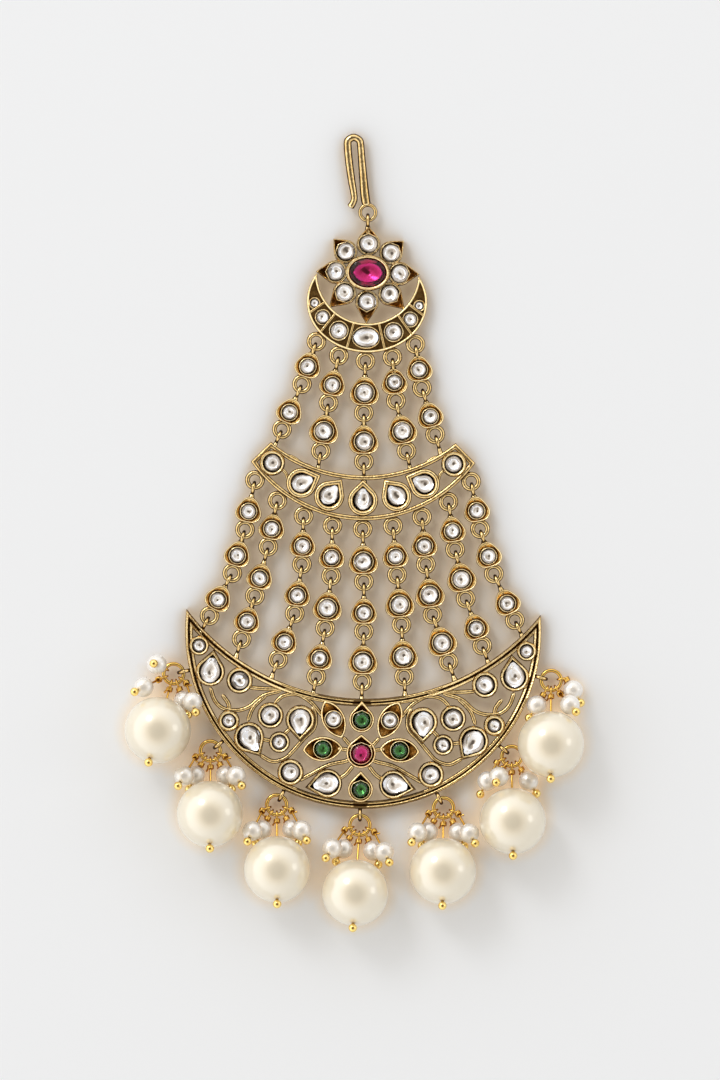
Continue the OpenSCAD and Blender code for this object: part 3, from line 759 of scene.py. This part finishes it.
# %% Links
RING_R, RING_WIRE = 1.35, 0.9
RING_OUT = RING_R + RING_WIRE / 2
LOOP_R, LOOP_WIRE = 1.0, 0.68
LOOP_HANG = RING_R + 0.1
BIG_GEM = 1.5
BIG_CUP, SMALL_CUP = 2.65, 2.35
CUP_OVER_RING, CUP_BELOW_RING = 0.5, 0.3
LINK_COLLAR = 2.2
LINK_GIRDLE = 2.06
CUP_WELL = [  # inset, height and polish
    (0.5, 0.3, 0.0), (0.16, 0.42, 0.0), (0.03, 0.8, 0.05), (0.0, 1.4, 0.15), (0.02, 2.05, 0.3),
    (0.07, 2.29, 0.8), (0.14, 2.38, 1.0), (0.21, 2.35, 0.9), (0.27, 2.22, 0.3), (0.4, 2.12, 0.6)]
CUP_FOOT = 1.7


def link(skin, stones, body, centre, gem):
    """Works out one link from its solid and its stone, and dresses it."""
    tip, turn = far_tip(body, centre)
    along = along_link(body, centre, tip)
    own_ring = along.min() + RING_OUT
    loop = along.max() - LOOP_R - LOOP_WIRE / 2
    size = BIG_CUP if gem > BIG_GEM else SMALL_CUP
    ring_above = loop + LOOP_HANG
    on_its_ring = own_ring + RING_OUT - CUP_OVER_RING + (1 - CUP_POINT) * size
    highest = ring_above - RING_OUT - CUP_BELOW_RING - (1 + CUP_POINT) * size
    cup_y = min(on_its_ring, highest)
    neck_y = cup_y + (1 + CUP_POINT) * size

    def at(y):
        return placed([[0, y, 0]], centre, turn)[0]
    ring(skin, at(own_ring), RING_R, RING_WIRE)
    edge_loop(skin, at(loop), turn, LOOP_R, LOOP_WIRE)
    neck = np.array([[0, neck_y - 0.6, 1.3], [0, neck_y - 0.15, 1.45], [0, neck_y + 0.3, 1.45],
                     [0, loop - LOOP_R + 0.05, RING_Z]])
    tube(skin, placed(neck, centre, turn), [0.75, 0.6, 0.44, LOOP_WIRE / 2 + 0.02])
    nest(skin, cup(size), CUP_WELL, gem, LINK_COLLAR, at(cup_y), turn, (0, -cup_y), CUP_FOOT)
    stone(stones, facets(oval(gem)), LINK_GIRDLE, centre, turn + FACET_TURN)


for group, count in (("upper", 5), ("lower", 9)):
    for i in range(1, count + 1):
        name = f"{group}_chain_{i}"
        chain = Skin(WARM)
        for body in loose_parts(name):
            link(chain, clear[f"{group}_chain_stones"], body, *own_stone(body, group))
        chain.make(f"{name}_dressed", "antique_gold", [name])

# %% [markdown]
# The lowest ring of each chain holds a loop that belongs to the casting below. These feet are
# read from the links once more, so that the loops land in the rings wherever the chains lie.

# %% Where the chains end
def feet(group, count):
    """The centre and turn of the last ring of each chain."""
    found = []
    for i in range(1, count + 1):
        body = min(loose_parts(f"{group}_chain_{i}"), key=lambda p: p[:, 1].min())
        own = own_stone(body, group)[0]
        tip, turn = far_tip(body, own)
        lowest = along_link(body, own, tip).min()
        found.append((placed([[0, lowest + RING_OUT, 0]], own, turn)[0], turn))
    return found


def bail(skin, foot, stem):
    """A loop on edge in a chain's last ring, with its stem down to the casting."""
    centre, turn = foot
    at = placed([[0, -LOOP_HANG, 0]], centre, turn)[0]
    edge_loop(skin, at, turn, LOOP_R, LOOP_WIRE)
    path = [[0, -LOOP_HANG - LOOP_R + 0.05, RING_Z], [0, -LOOP_HANG - LOOP_R - 0.4 * stem, RING_Z + 0.1],
            [0, -LOOP_HANG - LOOP_R - stem, RING_Z + 0.1]]
    tube(skin, placed(path, centre, turn), [LOOP_WIRE / 2, 0.42, 0.6])


for group, count in (("upper", 5), ("lower", 9)):
    print("lowest rings of the", group, "chains, y in mm:", [round(at[1], 1) for at, _ in feet(group, count)])

# %% [markdown]
# Petals and cells are shallow wells with a bright edge. Their floors keep the grain of the cast,
# so they get a middling polish and only the walls go dark. The three castings are the same on
# both sides, so their parts are written once, for the right.

# %% Wells
FLOWER = ((2.1, 46.8), -1.5)  # each casting's middle, and its turn on the table
BAND = ((1.25, 10.2), -0.4)
CRESCENT = ((1.0, -34.0), -1.0)
BEZEL_FOOT, BEZEL_TOP, BEZEL_WALL = 1.5, 2.25, 0.3


def on(casting, point, turn=0):
    """A place and turn on a casting, in the piece's own frame."""
    centre, lean = casting
    return placed([point], centre, lean)[0], lean + turn


def well(floor, rim=0.36, top=RIM, floor_polish=0.5):
    """The profile of a shallow well with a raised edge."""
    return [(0.12, 0.0, 0.0), (0.0, 0.15, 0.0), (0.0, top - 0.5, 0.1), (0.02, top - 0.22, 0.25),
            (0.09, top - 0.05, 0.65), (0.5 * rim, top, 1.0), (0.8 * rim, top - 0.08, 0.7),
            (rim, floor + 0.12, 0.1), (rim + 0.05, floor, floor_polish)]


def bezel(skin, half_x, half_y, centre, turn):
    """A thin collar that holds a stone inside a well."""
    profiled(skin, oval(half_x + BEZEL_WALL, half_y + BEZEL_WALL), [
        (0.0, BEZEL_FOOT, 0.0), (0.0, BEZEL_TOP - 0.25, 0.1), (0.05, BEZEL_TOP - 0.06, 0.7),
        (0.14, BEZEL_TOP, 1.0), (0.22, BEZEL_TOP - 0.08, 0.6), (0.29, BEZEL_TOP - 0.26, 0.0),
        (BEZEL_WALL, SEAT, 0.0)], centre, turn)


def mirrored(rows):
    """Each row on the right, and again on the left. What lies on the middle line comes once."""
    return [(side, row) for row in rows for side in ((1, -1) if abs(row[0]) > 0 else (1,))]


print("the crescent lies", BAND[0][1] - CRESCENT[0][1], "mm below the band")

# %% [markdown]
# The flower is one casting: eight pointed petals round an oval stone, and a small crescent
# below. One petal could be turned seven times, but they stand on an oval and the top one is the
# shortest, so a loop works out each. Their stones are packed so closely that each sits in a
# collar that is part of its petal.

# %% Petals
PETALS = 8
PETAL_AWAY = (5.8, 5.25)
PETAL_R, PETAL_STONE = 2.15, 1.68
PETAL_REACH, TOP_PETAL_SHORTER = 3.55, 0.45
PETAL_FLOOR, PETAL_COLLAR, PETAL_GIRDLE = 2.0, 2.2, 2.08
RUBY_HALF = (3.25, 2.5)
RUBY_WALL, RUBY_GIRDLE, RUBY_CROWN = 0.75, 2.5, 0.16

flower = Skin(ANTIQUE)
for i in range(PETALS):
    petal = 360 / PETALS * i
    a = math.radians(petal)
    reach = PETAL_REACH - TOP_PETAL_SHORTER * math.sin(a)
    centre, turn = on(FLOWER, (PETAL_AWAY[0] * math.cos(a), PETAL_AWAY[1] * math.sin(a)), petal - 90)
    nest(flower, drop(PETAL_R, reach), well(PETAL_FLOOR, 0.24), PETAL_STONE, PETAL_COLLAR, centre, turn)
    stone(clear["petal_stones"], facets(oval(PETAL_STONE)), PETAL_GIRDLE, centre, turn)
centre, turn = on(FLOWER, (0, 0))
profiled(flower, oval(RUBY_HALF[0] + RUBY_WALL, RUBY_HALF[1] + RUBY_WALL),
         collar(RUBY_WALL, SETTING + 0.2), centre, turn)
stone(red["flower_ruby"], facets(oval(*RUBY_HALF)), RUBY_GIRDLE, centre, turn, RUBY_CROWN)
print("petals:", PETALS)

# %% [markdown]
# The small crescent lies between an oval and a circle, and its horns touch two of the petals.
# Ridges part it into cells with a stone in each. Where the two edges would cross, the horn ends,
# and that height comes from setting the widths of the oval and the circle equal.

# %% Small crescent
SMALL_X, SMALL_Y, SMALL_INNER, SMALL_DROP = 10.9, 9.2, 9.15, 5.25
SMALL_STEPS = 60
SMALL_FLOOR, SMALL_EDGE, SMALL_GIRDLE = 1.5, 0.45, 2.12
SMALL_STONES = [(0, -11.7, 2.35, 1.8), (4.95, -10.6, 1.55, 1.55), (7.9, -8.25, 1.2, 1.2),
                (9.45, -5.75, 0.8, 0.8)]  # x, y and half sizes
RIDGES = (14, 37, 54)  # turns from straight down
RIDGE_WIDE, RIDGE_TOP = 0.5, 2.35


def out_to_oval(ray):
    """How far the small crescent's outer oval lies along a ray from the flower's middle."""
    a = (ray[0] / SMALL_X) ** 2 + (ray[1] / SMALL_Y) ** 2
    b = ray[1] * SMALL_DROP / SMALL_Y ** 2
    return (math.sqrt(b * b - a * ((SMALL_DROP / SMALL_Y) ** 2 - 1)) - b) / a


def oval_moon(half_x, half_y, outer_y, inner_r):
    """A crescent between an oval and a circle. Its horns end where the two edges meet."""
    def line(inset=0):
        a, b, r = half_x - inset, half_y - inset, inner_r + inset
        # The height at which both edges are equally wide
        k = a * a / (b * b)
        low = k * outer_y
        y = (low + math.sqrt(low * low - (k - 1) * (low * outer_y - a * a + r * r))) / (k - 1)
        x = math.sqrt(r * r - y * y)
        horn = math.degrees(math.atan2((y - outer_y) / b, x / a))
        back = math.degrees(math.atan2(y, x))
        return np.vstack([arc(1, 180 - horn, 360 + horn, SMALL_STEPS, False) * [a, b] + [0, outer_y],
                          arc(r, back, -180 - back, SMALL_STEPS, False)])
    return line


profiled(flower, oval_moon(SMALL_X, SMALL_Y, -SMALL_DROP, SMALL_INNER),
         well(SMALL_FLOOR, SMALL_EDGE, RIM, 0.38), *FLOWER)
for side, (x, y, a, b) in mirrored(SMALL_STONES):
    at, lean = on(FLOWER, (side * x, y))
    bezel(flower, a, b, at, lean)
    stone(clear["small_crescent_stones"], facets(oval(a, b)), SMALL_GIRDLE, at, lean)
for lean in [side * ridge for ridge in RIDGES for side in (-1, 1)]:
    ray = toward(lean - 90)
    far = out_to_oval(ray)
    ridge = [ray * r for r in (SMALL_INNER + 0.1, (SMALL_INNER + far) / 2, far - 0.1)]
    scroll(flower, ridge, RIDGE_WIDE, RIDGE_TOP, *FLOWER)
print("small crescent: cells", len(RIDGES) * 2 + 1)

# %% [markdown]
# Five face-on rings below carry the upper chains. Each stands square on the edge of the oval, so
# they fan out. The oval's own formula gives the places, because rings set by eye would leave
# the chains' loops beside them. A loop on edge at the top carries the hook, and leans with it.

# %% Rings and loop of the flower
UPPER_CHAINS, UPPER_STEP = 5, 23.4
RING_STAND = RING_R + 0.15
FLOWER_LOOP, LOOP_LEAN = 9.45, 1.4

for i in range(UPPER_CHAINS):
    ray = toward(-90 + UPPER_STEP * (i - 2))
    out = ray / [SMALL_X, SMALL_Y]
    edge = ray * [SMALL_X, SMALL_Y] - [0, SMALL_DROP]
    ring(flower, on(FLOWER, edge + out / np.linalg.norm(out) * RING_STAND)[0], RING_R, RING_WIRE)
at, lean = on(FLOWER, placed([(0, FLOWER_LOOP)], (0, 0), LOOP_LEAN)[0], LOOP_LEAN)
edge_loop(flower, at, lean, LOOP_R, LOOP_WIRE)
stem = [[0, -2.2, 1.3], [0, -1.5, 1.45], [0, -LOOP_R + 0.05, RING_Z]]
tube(flower, placed(stem, at, lean), [0.7, 0.5, 0.4])
flower.make("flower_dressed", "antique_gold", ["flower_frame"])

# %% [markdown]
# The hook is a flattened wire, bent like a hairpin. A curve with a bevel could make it, but its
# radius would scale width and height together. Here the width changes along the wire while the
# height stays, so it is one sweep with an oval section that narrows at the tip of each leg.

# %% Hook
HOOK_HIGH = 1.3
HOOK = [  # x, y and width along the wire
    (1.95, 58.9, 1.6), (1.62, 60.5, 1.7), (1.3, 64.0, 1.55), (1.0, 67.5, 1.4), (0.78, 70.2, 1.35),
    (0.45, 70.9, 1.35), (-0.4, 71.3, 1.35), (-1.25, 70.9, 1.4), (-1.55, 70.2, 1.45), (-1.35, 67.5, 1.45),
    (-0.9, 64.0, 1.4), (-0.35, 60.6, 1.25), (-0.55, 59.5, 1.25), (-1.1, 58.6, 1.4)]
HOOK_TIP = (0.5, 0.86)  # how much of the section is left at the end of a leg
EYE_HANG, HOOK_EYE_R, HOOK_EYE_WIRE = 1.45, 1.4, 0.72

hook = Skin(ANTIQUE)
path = smooth(HOOK, 8)
ahead = np.gradient(path[:, :2], axis=0)
side = np.column_stack([-ahead[:, 1], ahead[:, 0]]) / np.linalg.norm(ahead, axis=1)[:, None]
section = circle(20, 0.5)
taper = np.ones(len(path))
taper[[0, 1]] = taper[[-1, -2]] = HOOK_TIP
rings = []
for p, s, t in zip(path, side, taper):
    flat = p[:2] + np.outer(section[:, 0] * p[2] * t, s)
    rings.append(np.column_stack([flat, RING_Z + section[:, 1] * HOOK_HIGH * t]))
hook.over(rings, [worn(2 * section[:, 1])] * len(rings))
hook_eye = on(FLOWER, placed([(0, FLOWER_LOOP + EYE_HANG)], (0, 0), LOOP_LEAN)[0])[0]
ring(hook, hook_eye, HOOK_EYE_R, HOOK_EYE_WIRE)
hook.make("hook_dressed", "antique_gold", ["hair_hook"])

# %% [markdown]
# The band is a frame of one raised rim, pierced between its settings. A frame like this is a
# profile that closes on itself, so its inner walls are real and light falls through the piercings.

# %% Frames
BAND_TOP_R, BAND_BOTTOM_R, BAND_DEPTH = 26.4, 24.8, 8.2
BAND_END_SUM = 16.75 + 5.9
BAND_STEPS = 90


def band_line(inset=0):
    """Two arcs joined by straight ends that slant at 45 degrees."""
    reach = BAND_END_SUM - inset * math.sqrt(2)
    corners = []
    for y, r in ((BAND_TOP_R, BAND_TOP_R + inset), (BAND_BOTTOM_R - BAND_DEPTH, BAND_BOTTOM_R - inset)):
        x = (reach - y + math.sqrt(2 * r * r - (reach - y) ** 2)) / 2
        corners.append((y, r, math.degrees(math.atan2(reach - x - y, x))))
    (top_y, top_r, top), (low_y, low_r, low) = corners
    return np.vstack([arc(top_r, top, -180 - top, BAND_STEPS) + [0, top_y],
                      arc(low_r, -180 - low, low, BAND_STEPS) + [0, low_y]])


def framed(width, lines=1):
    """A raised frame. With two lines a dark groove runs between them."""
    outer = [(0.08, 0.0, 0.0), (0.0, 0.15, 0.0), (0.0, RIM - 0.45, 0.1)]
    if lines == 1:
        crest = [(0.03, RIM - 0.25, 0.1), (0.2 * width, RIM - 0.06, 0.65), (0.5 * width, RIM, 1.0),
                 (0.8 * width, RIM - 0.06, 0.65), (width - 0.03, RIM - 0.25, 0.1)]
    else:
        half = [(0.03, -0.22, 0.1), (0.09, -0.07, 0.6), (0.21, 0.0, 1.0), (0.33, -0.07, 0.7),
                (0.4, -0.2, 0.2), (0.46, -0.32, 0.08)]
        half = [(inset * width, RIM + z, shine) for inset, z, shine in half]
        crest = half + [(width - inset, z, shine) for inset, z, shine in reversed(half)]
    return outer + crest + [(width, RIM - 0.45, 0.1), (width, 0.15, 0.0), (width - 0.08, 0.0, 0.0)]


def frame_ring(skin, line, rows, casting, beads=0.0):
    """Sweeps a frame's profile round its outline. Beads notch the crests at every other point."""
    rings = []
    for inset, z, shine in rows:
        flat = placed(line(inset), *casting)
        lift = np.full(len(flat), z)
        if shine >= 0.98:
            lift[::2] -= beads
        rings.append(np.column_stack([flat, lift]))
    skin.over(rings, [row[2] for row in rows], joined=True)


print("the band is", round(float(np.ptp(band_line()[:, 0])), 1), "mm wide")

# %% [markdown]
# The settings stand free in the frame: five pears that fan out, and a round one at each end. Each
# is a high wall round a seat, and the stone sits a little below the crest, as if the metal had
# been pushed over its edge.

# %% Middle band
BAND_RIM = 0.9
BAND_PEARS = [(0, -4.6, 0), (6.1, -3.8, 37), (11.15, -1.5, 68)]  # x, y and turn
BAND_PEAR, BAND_PEAR_STONE, BAND_PEAR_WALL = (2.75, 3.85), (1.72, 2.6), 1.0
BAND_ENDS = [(16.4, 2.1)]
BAND_ROUND, BAND_ROUND_STONE = 2.3, 1.57
BAND_LEAVES = [[(15.0, 3.4), (12.9, 3.3), (11.2, 2.2), (9.3, 1.5)], [(14.6, 1.0), (13.9, 0.2), (13.6, -0.8)]]
BAND_LEAF_WIDE, SCROLL_TOP = 0.6, 2.1
BAND_STEM = 1.5
LOWER_CHAINS, LOWER_STEP = 9, 12
STONE_BELOW = 0.35


def pear_setting(skin, stones, setting, gem, wall, at, lean):
    """A pear stone in its wall."""
    profiled(skin, drop(*setting), collar(wall), at, lean)
    stone(stones, facets(drop(*gem)), SETTING - STONE_BELOW, at, lean)


def round_setting(skin, stones, setting, gem, at, lean):
    """A round stone in its wall."""
    profiled(skin, oval(setting), collar(setting - gem - 0.02), at, lean)
    stone(stones, facets(oval(gem)), SETTING - STONE_BELOW, at, lean + FACET_TURN)


band = Skin(ANTIQUE)
frame_ring(band, band_line, framed(BAND_RIM), BAND)
for side, (x, y, tilt) in mirrored(BAND_PEARS):
    pear_setting(band, clear["middle_band_stones"], BAND_PEAR, BAND_PEAR_STONE, BAND_PEAR_WALL,
                 *on(BAND, (side * x, y), side * tilt))
for side, (x, y) in mirrored(BAND_ENDS):
    round_setting(band, clear["middle_band_stones"], BAND_ROUND, BAND_ROUND_STONE, *on(BAND, (side * x, y)))
    for line in BAND_LEAVES:
        scroll(band, [(side * x, y) for x, y in line], BAND_LEAF_WIDE, SCROLL_TOP, *BAND)
for i in range(LOWER_CHAINS):
    spot = toward(-90 + LOWER_STEP * (i - 4)) * (BAND_BOTTOM_R + RING_STAND)
    ring(band, on(BAND, spot + [0, BAND_BOTTOM_R - BAND_DEPTH])[0], RING_R, RING_WIRE)
for foot in feet("upper", UPPER_CHAINS):
    bail(band, foot, BAND_STEM)
band.make("band_dressed", "antique_gold", ["middle_band"])

# %% [markdown]
# The big crescent is pierced scrollwork inside a double rim. The scrolls are drawn as a few points
# each on the right half and mirrored, as a modeller carves one side in wax and copies it.

# %% Plan of the crescent
BIG_DROP, BIG_OUTER, BIG_SHIFT, BIG_INNER = 16.1, 32.2, 28.2, 40.5
ROUNDS = [(29.6, 12.9, 1.15, 1.8), (22.2, 6.7, 1.65, 2.4), (24.0, -0.6, 1.15, 1.95), (16.5, 0.5, 1.7, 2.4),
          (14.8, -4.3, 1.25, 1.95), (12.7, -9.7, 1.65, 2.4)]  # x, y, stone, setting
PEARS = [  # x, y, stone, setting, turn
    (27.5, 8.2, (1.95, 3.1), (2.65, 4.1), 8), (11.1, -0.2, (1.95, 3.0), (2.7, 4.0), 180),
    (20.3, -3.5, (2.05, 3.2), (2.75, 4.1), 148), (5.9, -11.6, (1.95, 3.1), (2.6, 4.2), -101)]
LEAVES = [(5.1, 0, 1.4, (3.75, 2.1), -26)]  # x, y, stone, half sizes, turn
GREEN_LEAVES = [(6.95, -5.4, 1.5, (3.65, 2.25), 86)]
GREEN_DROPS = [(0, 0, 1.55, (2.3, 3.4)), (0, -12.6, 1.55, (2.3, 3.4))]
BIG_RUBY = [(0, -6.05, 1.8, (2.7, 3.5))]
SCROLLS = [
    [(20.6, 5.5), (17.5, 5.3), (14.5, 5.3), (11.8, 4.8)],
    [(14.6, 5.0), (17.9, 4.0), (20.4, 2.0), (22.6, 1.3), (25.0, 1.6), (26.6, 3.0), (27.5, 5.4)],
    [(24.0, 1.4), (24.2, 2.6), (25.3, 4.1)],
    [(17.2, 4.3), (19.6, 1.9), (20.6, -0.6)],
    [(15.8, 2.7), (14.2, 4.1), (11.8, 4.4), (9.6, 3.3), (8.2, 1.9), (7.0, 0.4)],
    [(9.0, 2.2), (8.3, 0.4), (8.6, -1.7), (10.3, -3.5), (12.1, -5.6), (13.7, -7.2), (16.0, -7.8),
     (18.4, -6.6)],
    [(11.2, -11.2), (8.8, -9.9), (5.9, -8.3), (3.0, -7.6), (2.0, -7.2)],
    [(4.0, -10.8), (2.6, -9.8), (1.4, -8.3)],
    [(3.3, -3.2), (2.0, -4.6), (1.0, -5.2)],
    [(4.2, -5.25), (3.0, -5.4), (2.0, -5.5)],
    [(16.2, -4.1), (17.2, -3.95), (18.2, -3.8)],
    [(13.9, -2.8), (13.3, -2.2), (12.7, -1.6)]]
print("clear stones in the crescent:", 2 * len(ROUNDS + PEARS + LEAVES))

# %% [markdown]
# The rim is two fine beaded lines with a dark groove between them. The beads are too small to
# model one by one, so every other point of a crest is notched instead, and the light breaks on
# the notches. Round stones in pointed settings sit in a thin collar of their own.

# %% Lower crescent
RIM_WIDE, RIM_POINTS, BEAD_NOTCH = 1.4, 400, 0.12
POINTED_FLOOR, POINTED_EDGE = 2.02, 0.42
POINTED_GIRDLE = SETTING - 0.25
SCROLL_WIDE = 0.8
CRESCENT_STEM = 1.1


def pointed_setting(skin, stones, line, gem, at, lean):
    """A pointed well with a round stone in its own collar."""
    nest(skin, line, well(POINTED_FLOOR, POINTED_EDGE, SETTING, 0.42), gem, SETTING + 0.02, at, lean)
    stone(stones, facets(oval(gem)), POINTED_GIRDLE, at, lean + FACET_TURN)


crescent = Skin(ANTIQUE)
frame_ring(crescent, moon(BIG_DROP, BIG_OUTER, BIG_DROP + BIG_SHIFT, BIG_INNER, RIM_POINTS),
           framed(RIM_WIDE, 2), CRESCENT, BEAD_NOTCH)
white, emeralds = clear["crescent_stones"], green["crescent_emeralds"]
for side, (x, y, gem, setting) in mirrored(ROUNDS):
    round_setting(crescent, white, setting, gem, *on(CRESCENT, (side * x, y)))
for side, (x, y, gem, setting, tilt) in mirrored(PEARS):
    pear_setting(crescent, white, setting, gem, setting[0] - gem[0],
                 *on(CRESCENT, (side * x, y), side * tilt))
for rows, stones in ((LEAVES, white), (GREEN_LEAVES, emeralds)):
    for side, (x, y, gem, half, tilt) in mirrored(rows):
        pointed_setting(crescent, stones, leaf(*half), gem, *on(CRESCENT, (side * x, y), side * tilt))
for rows, stones in ((GREEN_DROPS, emeralds), (BIG_RUBY, red["crescent_ruby"])):
    for x, y, gem, setting in rows:
        pointed_setting(crescent, stones, drop(*setting), gem, *on(CRESCENT, (x, y)))
for line in SCROLLS:
    for side in (1, -1):
        scroll(crescent, [(side * x, y) for x, y in line], SCROLL_WIDE, SCROLL_TOP, *CRESCENT)
for foot in feet("lower", LOWER_CHAINS):
    bail(crescent, foot, CRESCENT_STEM)
print("crescent so far:", len(crescent.faces), "faces")

# %% [markdown]
# Seven loops on edge stand round the outside, one for each drop. With them the castings are
# complete, and so is each kind of stone, so the crescent and all the stones are made here.

# %% Loops for the drops, and the stones
DROP_COUNT, DROP_STEP = 7, 25.4
RIM_LOOP, JUMP_WIRE = 0.95, 0.7

for i in range(DROP_COUNT):
    lean = DROP_STEP * (i - 3)
    at, turn = on(CRESCENT, placed([(0, -BIG_OUTER - 0.1 - RIM_LOOP)], (0, BIG_DROP), lean)[0], lean)
    edge_loop(crescent, at, turn, RIM_LOOP, JUMP_WIRE)
    stem = [[0, RIM_LOOP + y, RING_Z] for y in (-0.1, 0.4, 0.8)]
    tube(crescent, placed(stem, at, turn), [0.36, 0.42, 0.5])
crescent.make("crescent_dressed", "antique_gold", ["lower_crescent"])
for slot, group in (("clear_stone", clear), ("magenta_stone", red), ("green_stone", green)):
    for name, stones in group.items():
        stones.make(f"{name}_cut", slot, [name])

# %% [markdown]
# A pearl is a drilled bead. Cutting the hole out of a sphere would leave uneven faces round it, so
# the pearl is turned as on a lathe, with a profile that returns along the hole. The ball of a head
# pin is turned the same way, without a hole. A lathe needs three axes: the one that it turns
# round, and two across it.

# %% Pearls
HOLE_R = 0.32


def facing(direction):
    """Three axes: along the direction, level beside it, and the one left."""
    along = np.asarray(direction, float) / np.linalg.norm(direction)
    beside = np.cross([0, 0, 1.0], along)
    beside /= np.linalg.norm(beside)
    return np.array([along, beside, np.cross(along, beside)])


def lathe(skin, at, axes, profile, polish, steps, joined=False):
    """Turns a profile of (along, radius) round an axis."""
    around = circle(steps)
    rings = [at + np.column_stack([np.full(steps, x), around * r]) @ axes for x, r in profile]
    skin.over(rings, polish, joined=joined)


def pearl(skin, at, axes, radius, steps):
    """A drilled sphere."""
    low = math.asin(HOLE_R / radius)
    a = np.linspace(low, math.pi - low, steps)
    profile = radius * np.column_stack([-np.cos(a), np.sin(a)])
    lathe(skin, at, axes, profile, np.ones(steps), steps, True)


print("holes in the pearls:", 2 * HOLE_R, "mm wide")

# %% [markdown]
# A head pin is a wire with a ball at its foot. The pearl sits on the ball, and above it the wire
# is bent into an eye round the jump ring. The spare wire is wound round the neck by hand and cut,
# so the coils differ in their number of turns, and each has an end that sticks out. A coil is a
# tube like the others, along a helix.

# %% Head pins
PIN_WIRE, EYE_R, BALL_R = 0.4, 0.75, 0.78
PIN_SIDES, EYE_STEPS, BALL_STEPS = 8, 20, 14
PEARL_TO_BALL = 0.12
COIL_R, COIL_LONG, COIL_WIRE = 0.46, 0.6, 0.36
COIL_STEPS = 14  # a turn
COIL_TURNS, MORE_TURNS = 2.5, 0.3


def head_pin(skin, neck, heading, at, radius, turns):
    """The eye, the coil with its cut end, the pin and its ball."""
    flat = circle(EYE_STEPS, EYE_R)
    eye = np.column_stack([neck[:2] + np.outer(flat[:, 0] - EYE_R, toward(heading)), neck[2] + flat[:, 1]])
    tube(skin, eye, PIN_WIRE / 2, PIN_SIDES, joined=True)
    axes = facing(at - neck)
    far = np.linalg.norm(at - neck) + radius + PEARL_TO_BALL + BALL_R
    tube(skin, [neck, neck + axes[0] * (far / 2), neck + axes[0] * far], PIN_WIRE / 2, PIN_SIDES)
    a = np.linspace(0, 2 * math.pi * turns, int(COIL_STEPS * turns))
    coil = np.column_stack([0.06 + COIL_LONG * a / a[-1], COIL_R * np.cos(a), COIL_R * np.sin(a)])
    end_y, end_z = math.cos(a[-1]), math.sin(a[-1])
    way = np.array([0.25, -end_z + 0.4 * end_y, end_y + 0.4 * end_z])
    coil = np.vstack([coil, coil[-1] + 0.3 * way, coil[-1] + 0.65 * way])
    tube(skin, neck + coil @ axes, COIL_WIRE / 2, PIN_SIDES)
    a = np.linspace(0.12, math.pi - 0.12, BALL_STEPS)
    ball = BALL_R * np.column_stack([-np.cos(a), np.sin(a)])
    lathe(skin, neck + axes[0] * far, axes, ball, np.full(BALL_STEPS, 0.95), 20)


print("head pins of", PIN_WIRE, "mm wire, with balls of", 2 * BALL_R, "mm")

# %% [markdown]
# Each drop hangs from a jump ring. The big pearl lies on the table, and the small ones lie beside
# its neck, low or high, so that none touches its neighbour. The eyes stand round the jump ring
# far enough apart to keep clear of each other. Copies of one drop would look stamped, because
# loose beads fall differently each time, so four of the seven have a row of their own.

# %% Pearl drops
JUMP_R, JUMP_HANG = 1.8, 2.95
BIG_R, SMALL_R = 6.0, 1.8
BIG_STEPS, SMALL_BEAD_STEPS = 56, 28
LOW, HIGH = 1.8, 5.1
FAN = [(-47, 6.4, HIGH, -72), (-31, 5.2, LOW, -36), (31, 5.2, LOW, 36), (47, 6.4, HIGH, 72)]
DROPS = [  # heading of the drop, reach of the big pearl, small pearls: turn, reach, height, turn of the eye
    (-105.2, 10.4, [(-106, 3.4, HIGH, -108), (-51, 5.8, HIGH, -54), (35, 5.2, LOW, 36), (50, 6.1, HIGH, 72)]),
    (-89.8, 11.2, FAN),
    (-89.5, 11.4, [(-44, 6.3, HIGH, -72), (-31, 5.2, LOW, -36), (31, 5.2, LOW, 36), (45, 6.3, HIGH, 72)]),
    (-94, 12.0, FAN),
    (-91, 11.2, FAN),
    (-89.8, 11.5, [(-45, 6.3, LOW, -72), (-34, 4.3, HIGH, -36), (34, 5.4, LOW, 36)]),
    (-91, 11.4, [(-29, 5.2, LOW, -27), (38, 5.4, HIGH, 34), (67, 4.3, LOW, 100)])]

for i, (heading, big_reach, small) in enumerate(DROPS, 1):
    lean = DROP_STEP * (i - 4)
    jump = on(CRESCENT, placed([(0, -BIG_OUTER - JUMP_HANG)], (0, BIG_DROP), lean)[0])[0]
    wires, big, little = Skin(BRIGHT), Skin(CREAM), Skin(WHITE)
    ring(wires, jump, JUMP_R, JUMP_WIRE)
    beads = [(big, BIG_R, BIG_STEPS, (0, big_reach, BIG_R, 0))]
    beads += [(little, SMALL_R, SMALL_BEAD_STEPS, row) for row in small]
    for k, (skin, radius, steps, (turn, reach, z, eye)) in enumerate(beads):
        neck = np.append(jump + toward(heading + eye) * (JUMP_R + 0.1 + EYE_R), RING_Z)
        at = np.append(jump + toward(heading + turn) * reach, z)
        head_pin(wires, neck, heading + eye, at, radius, COIL_TURNS + MORE_TURNS * (k % 3))
        pearl(skin, at, facing(at - neck), radius, steps)
    wires.make(f"drop_wires_{i}", "bright_gold", [f"drop_ring_{i}"])
    big.make(f"big_pearl_dressed_{i}", "cream_pearl", [f"big_pearl_{i}"])
    little.make(f"small_pearls_dressed_{i}", "white_pearl", [f"small_pearls_{i}"])
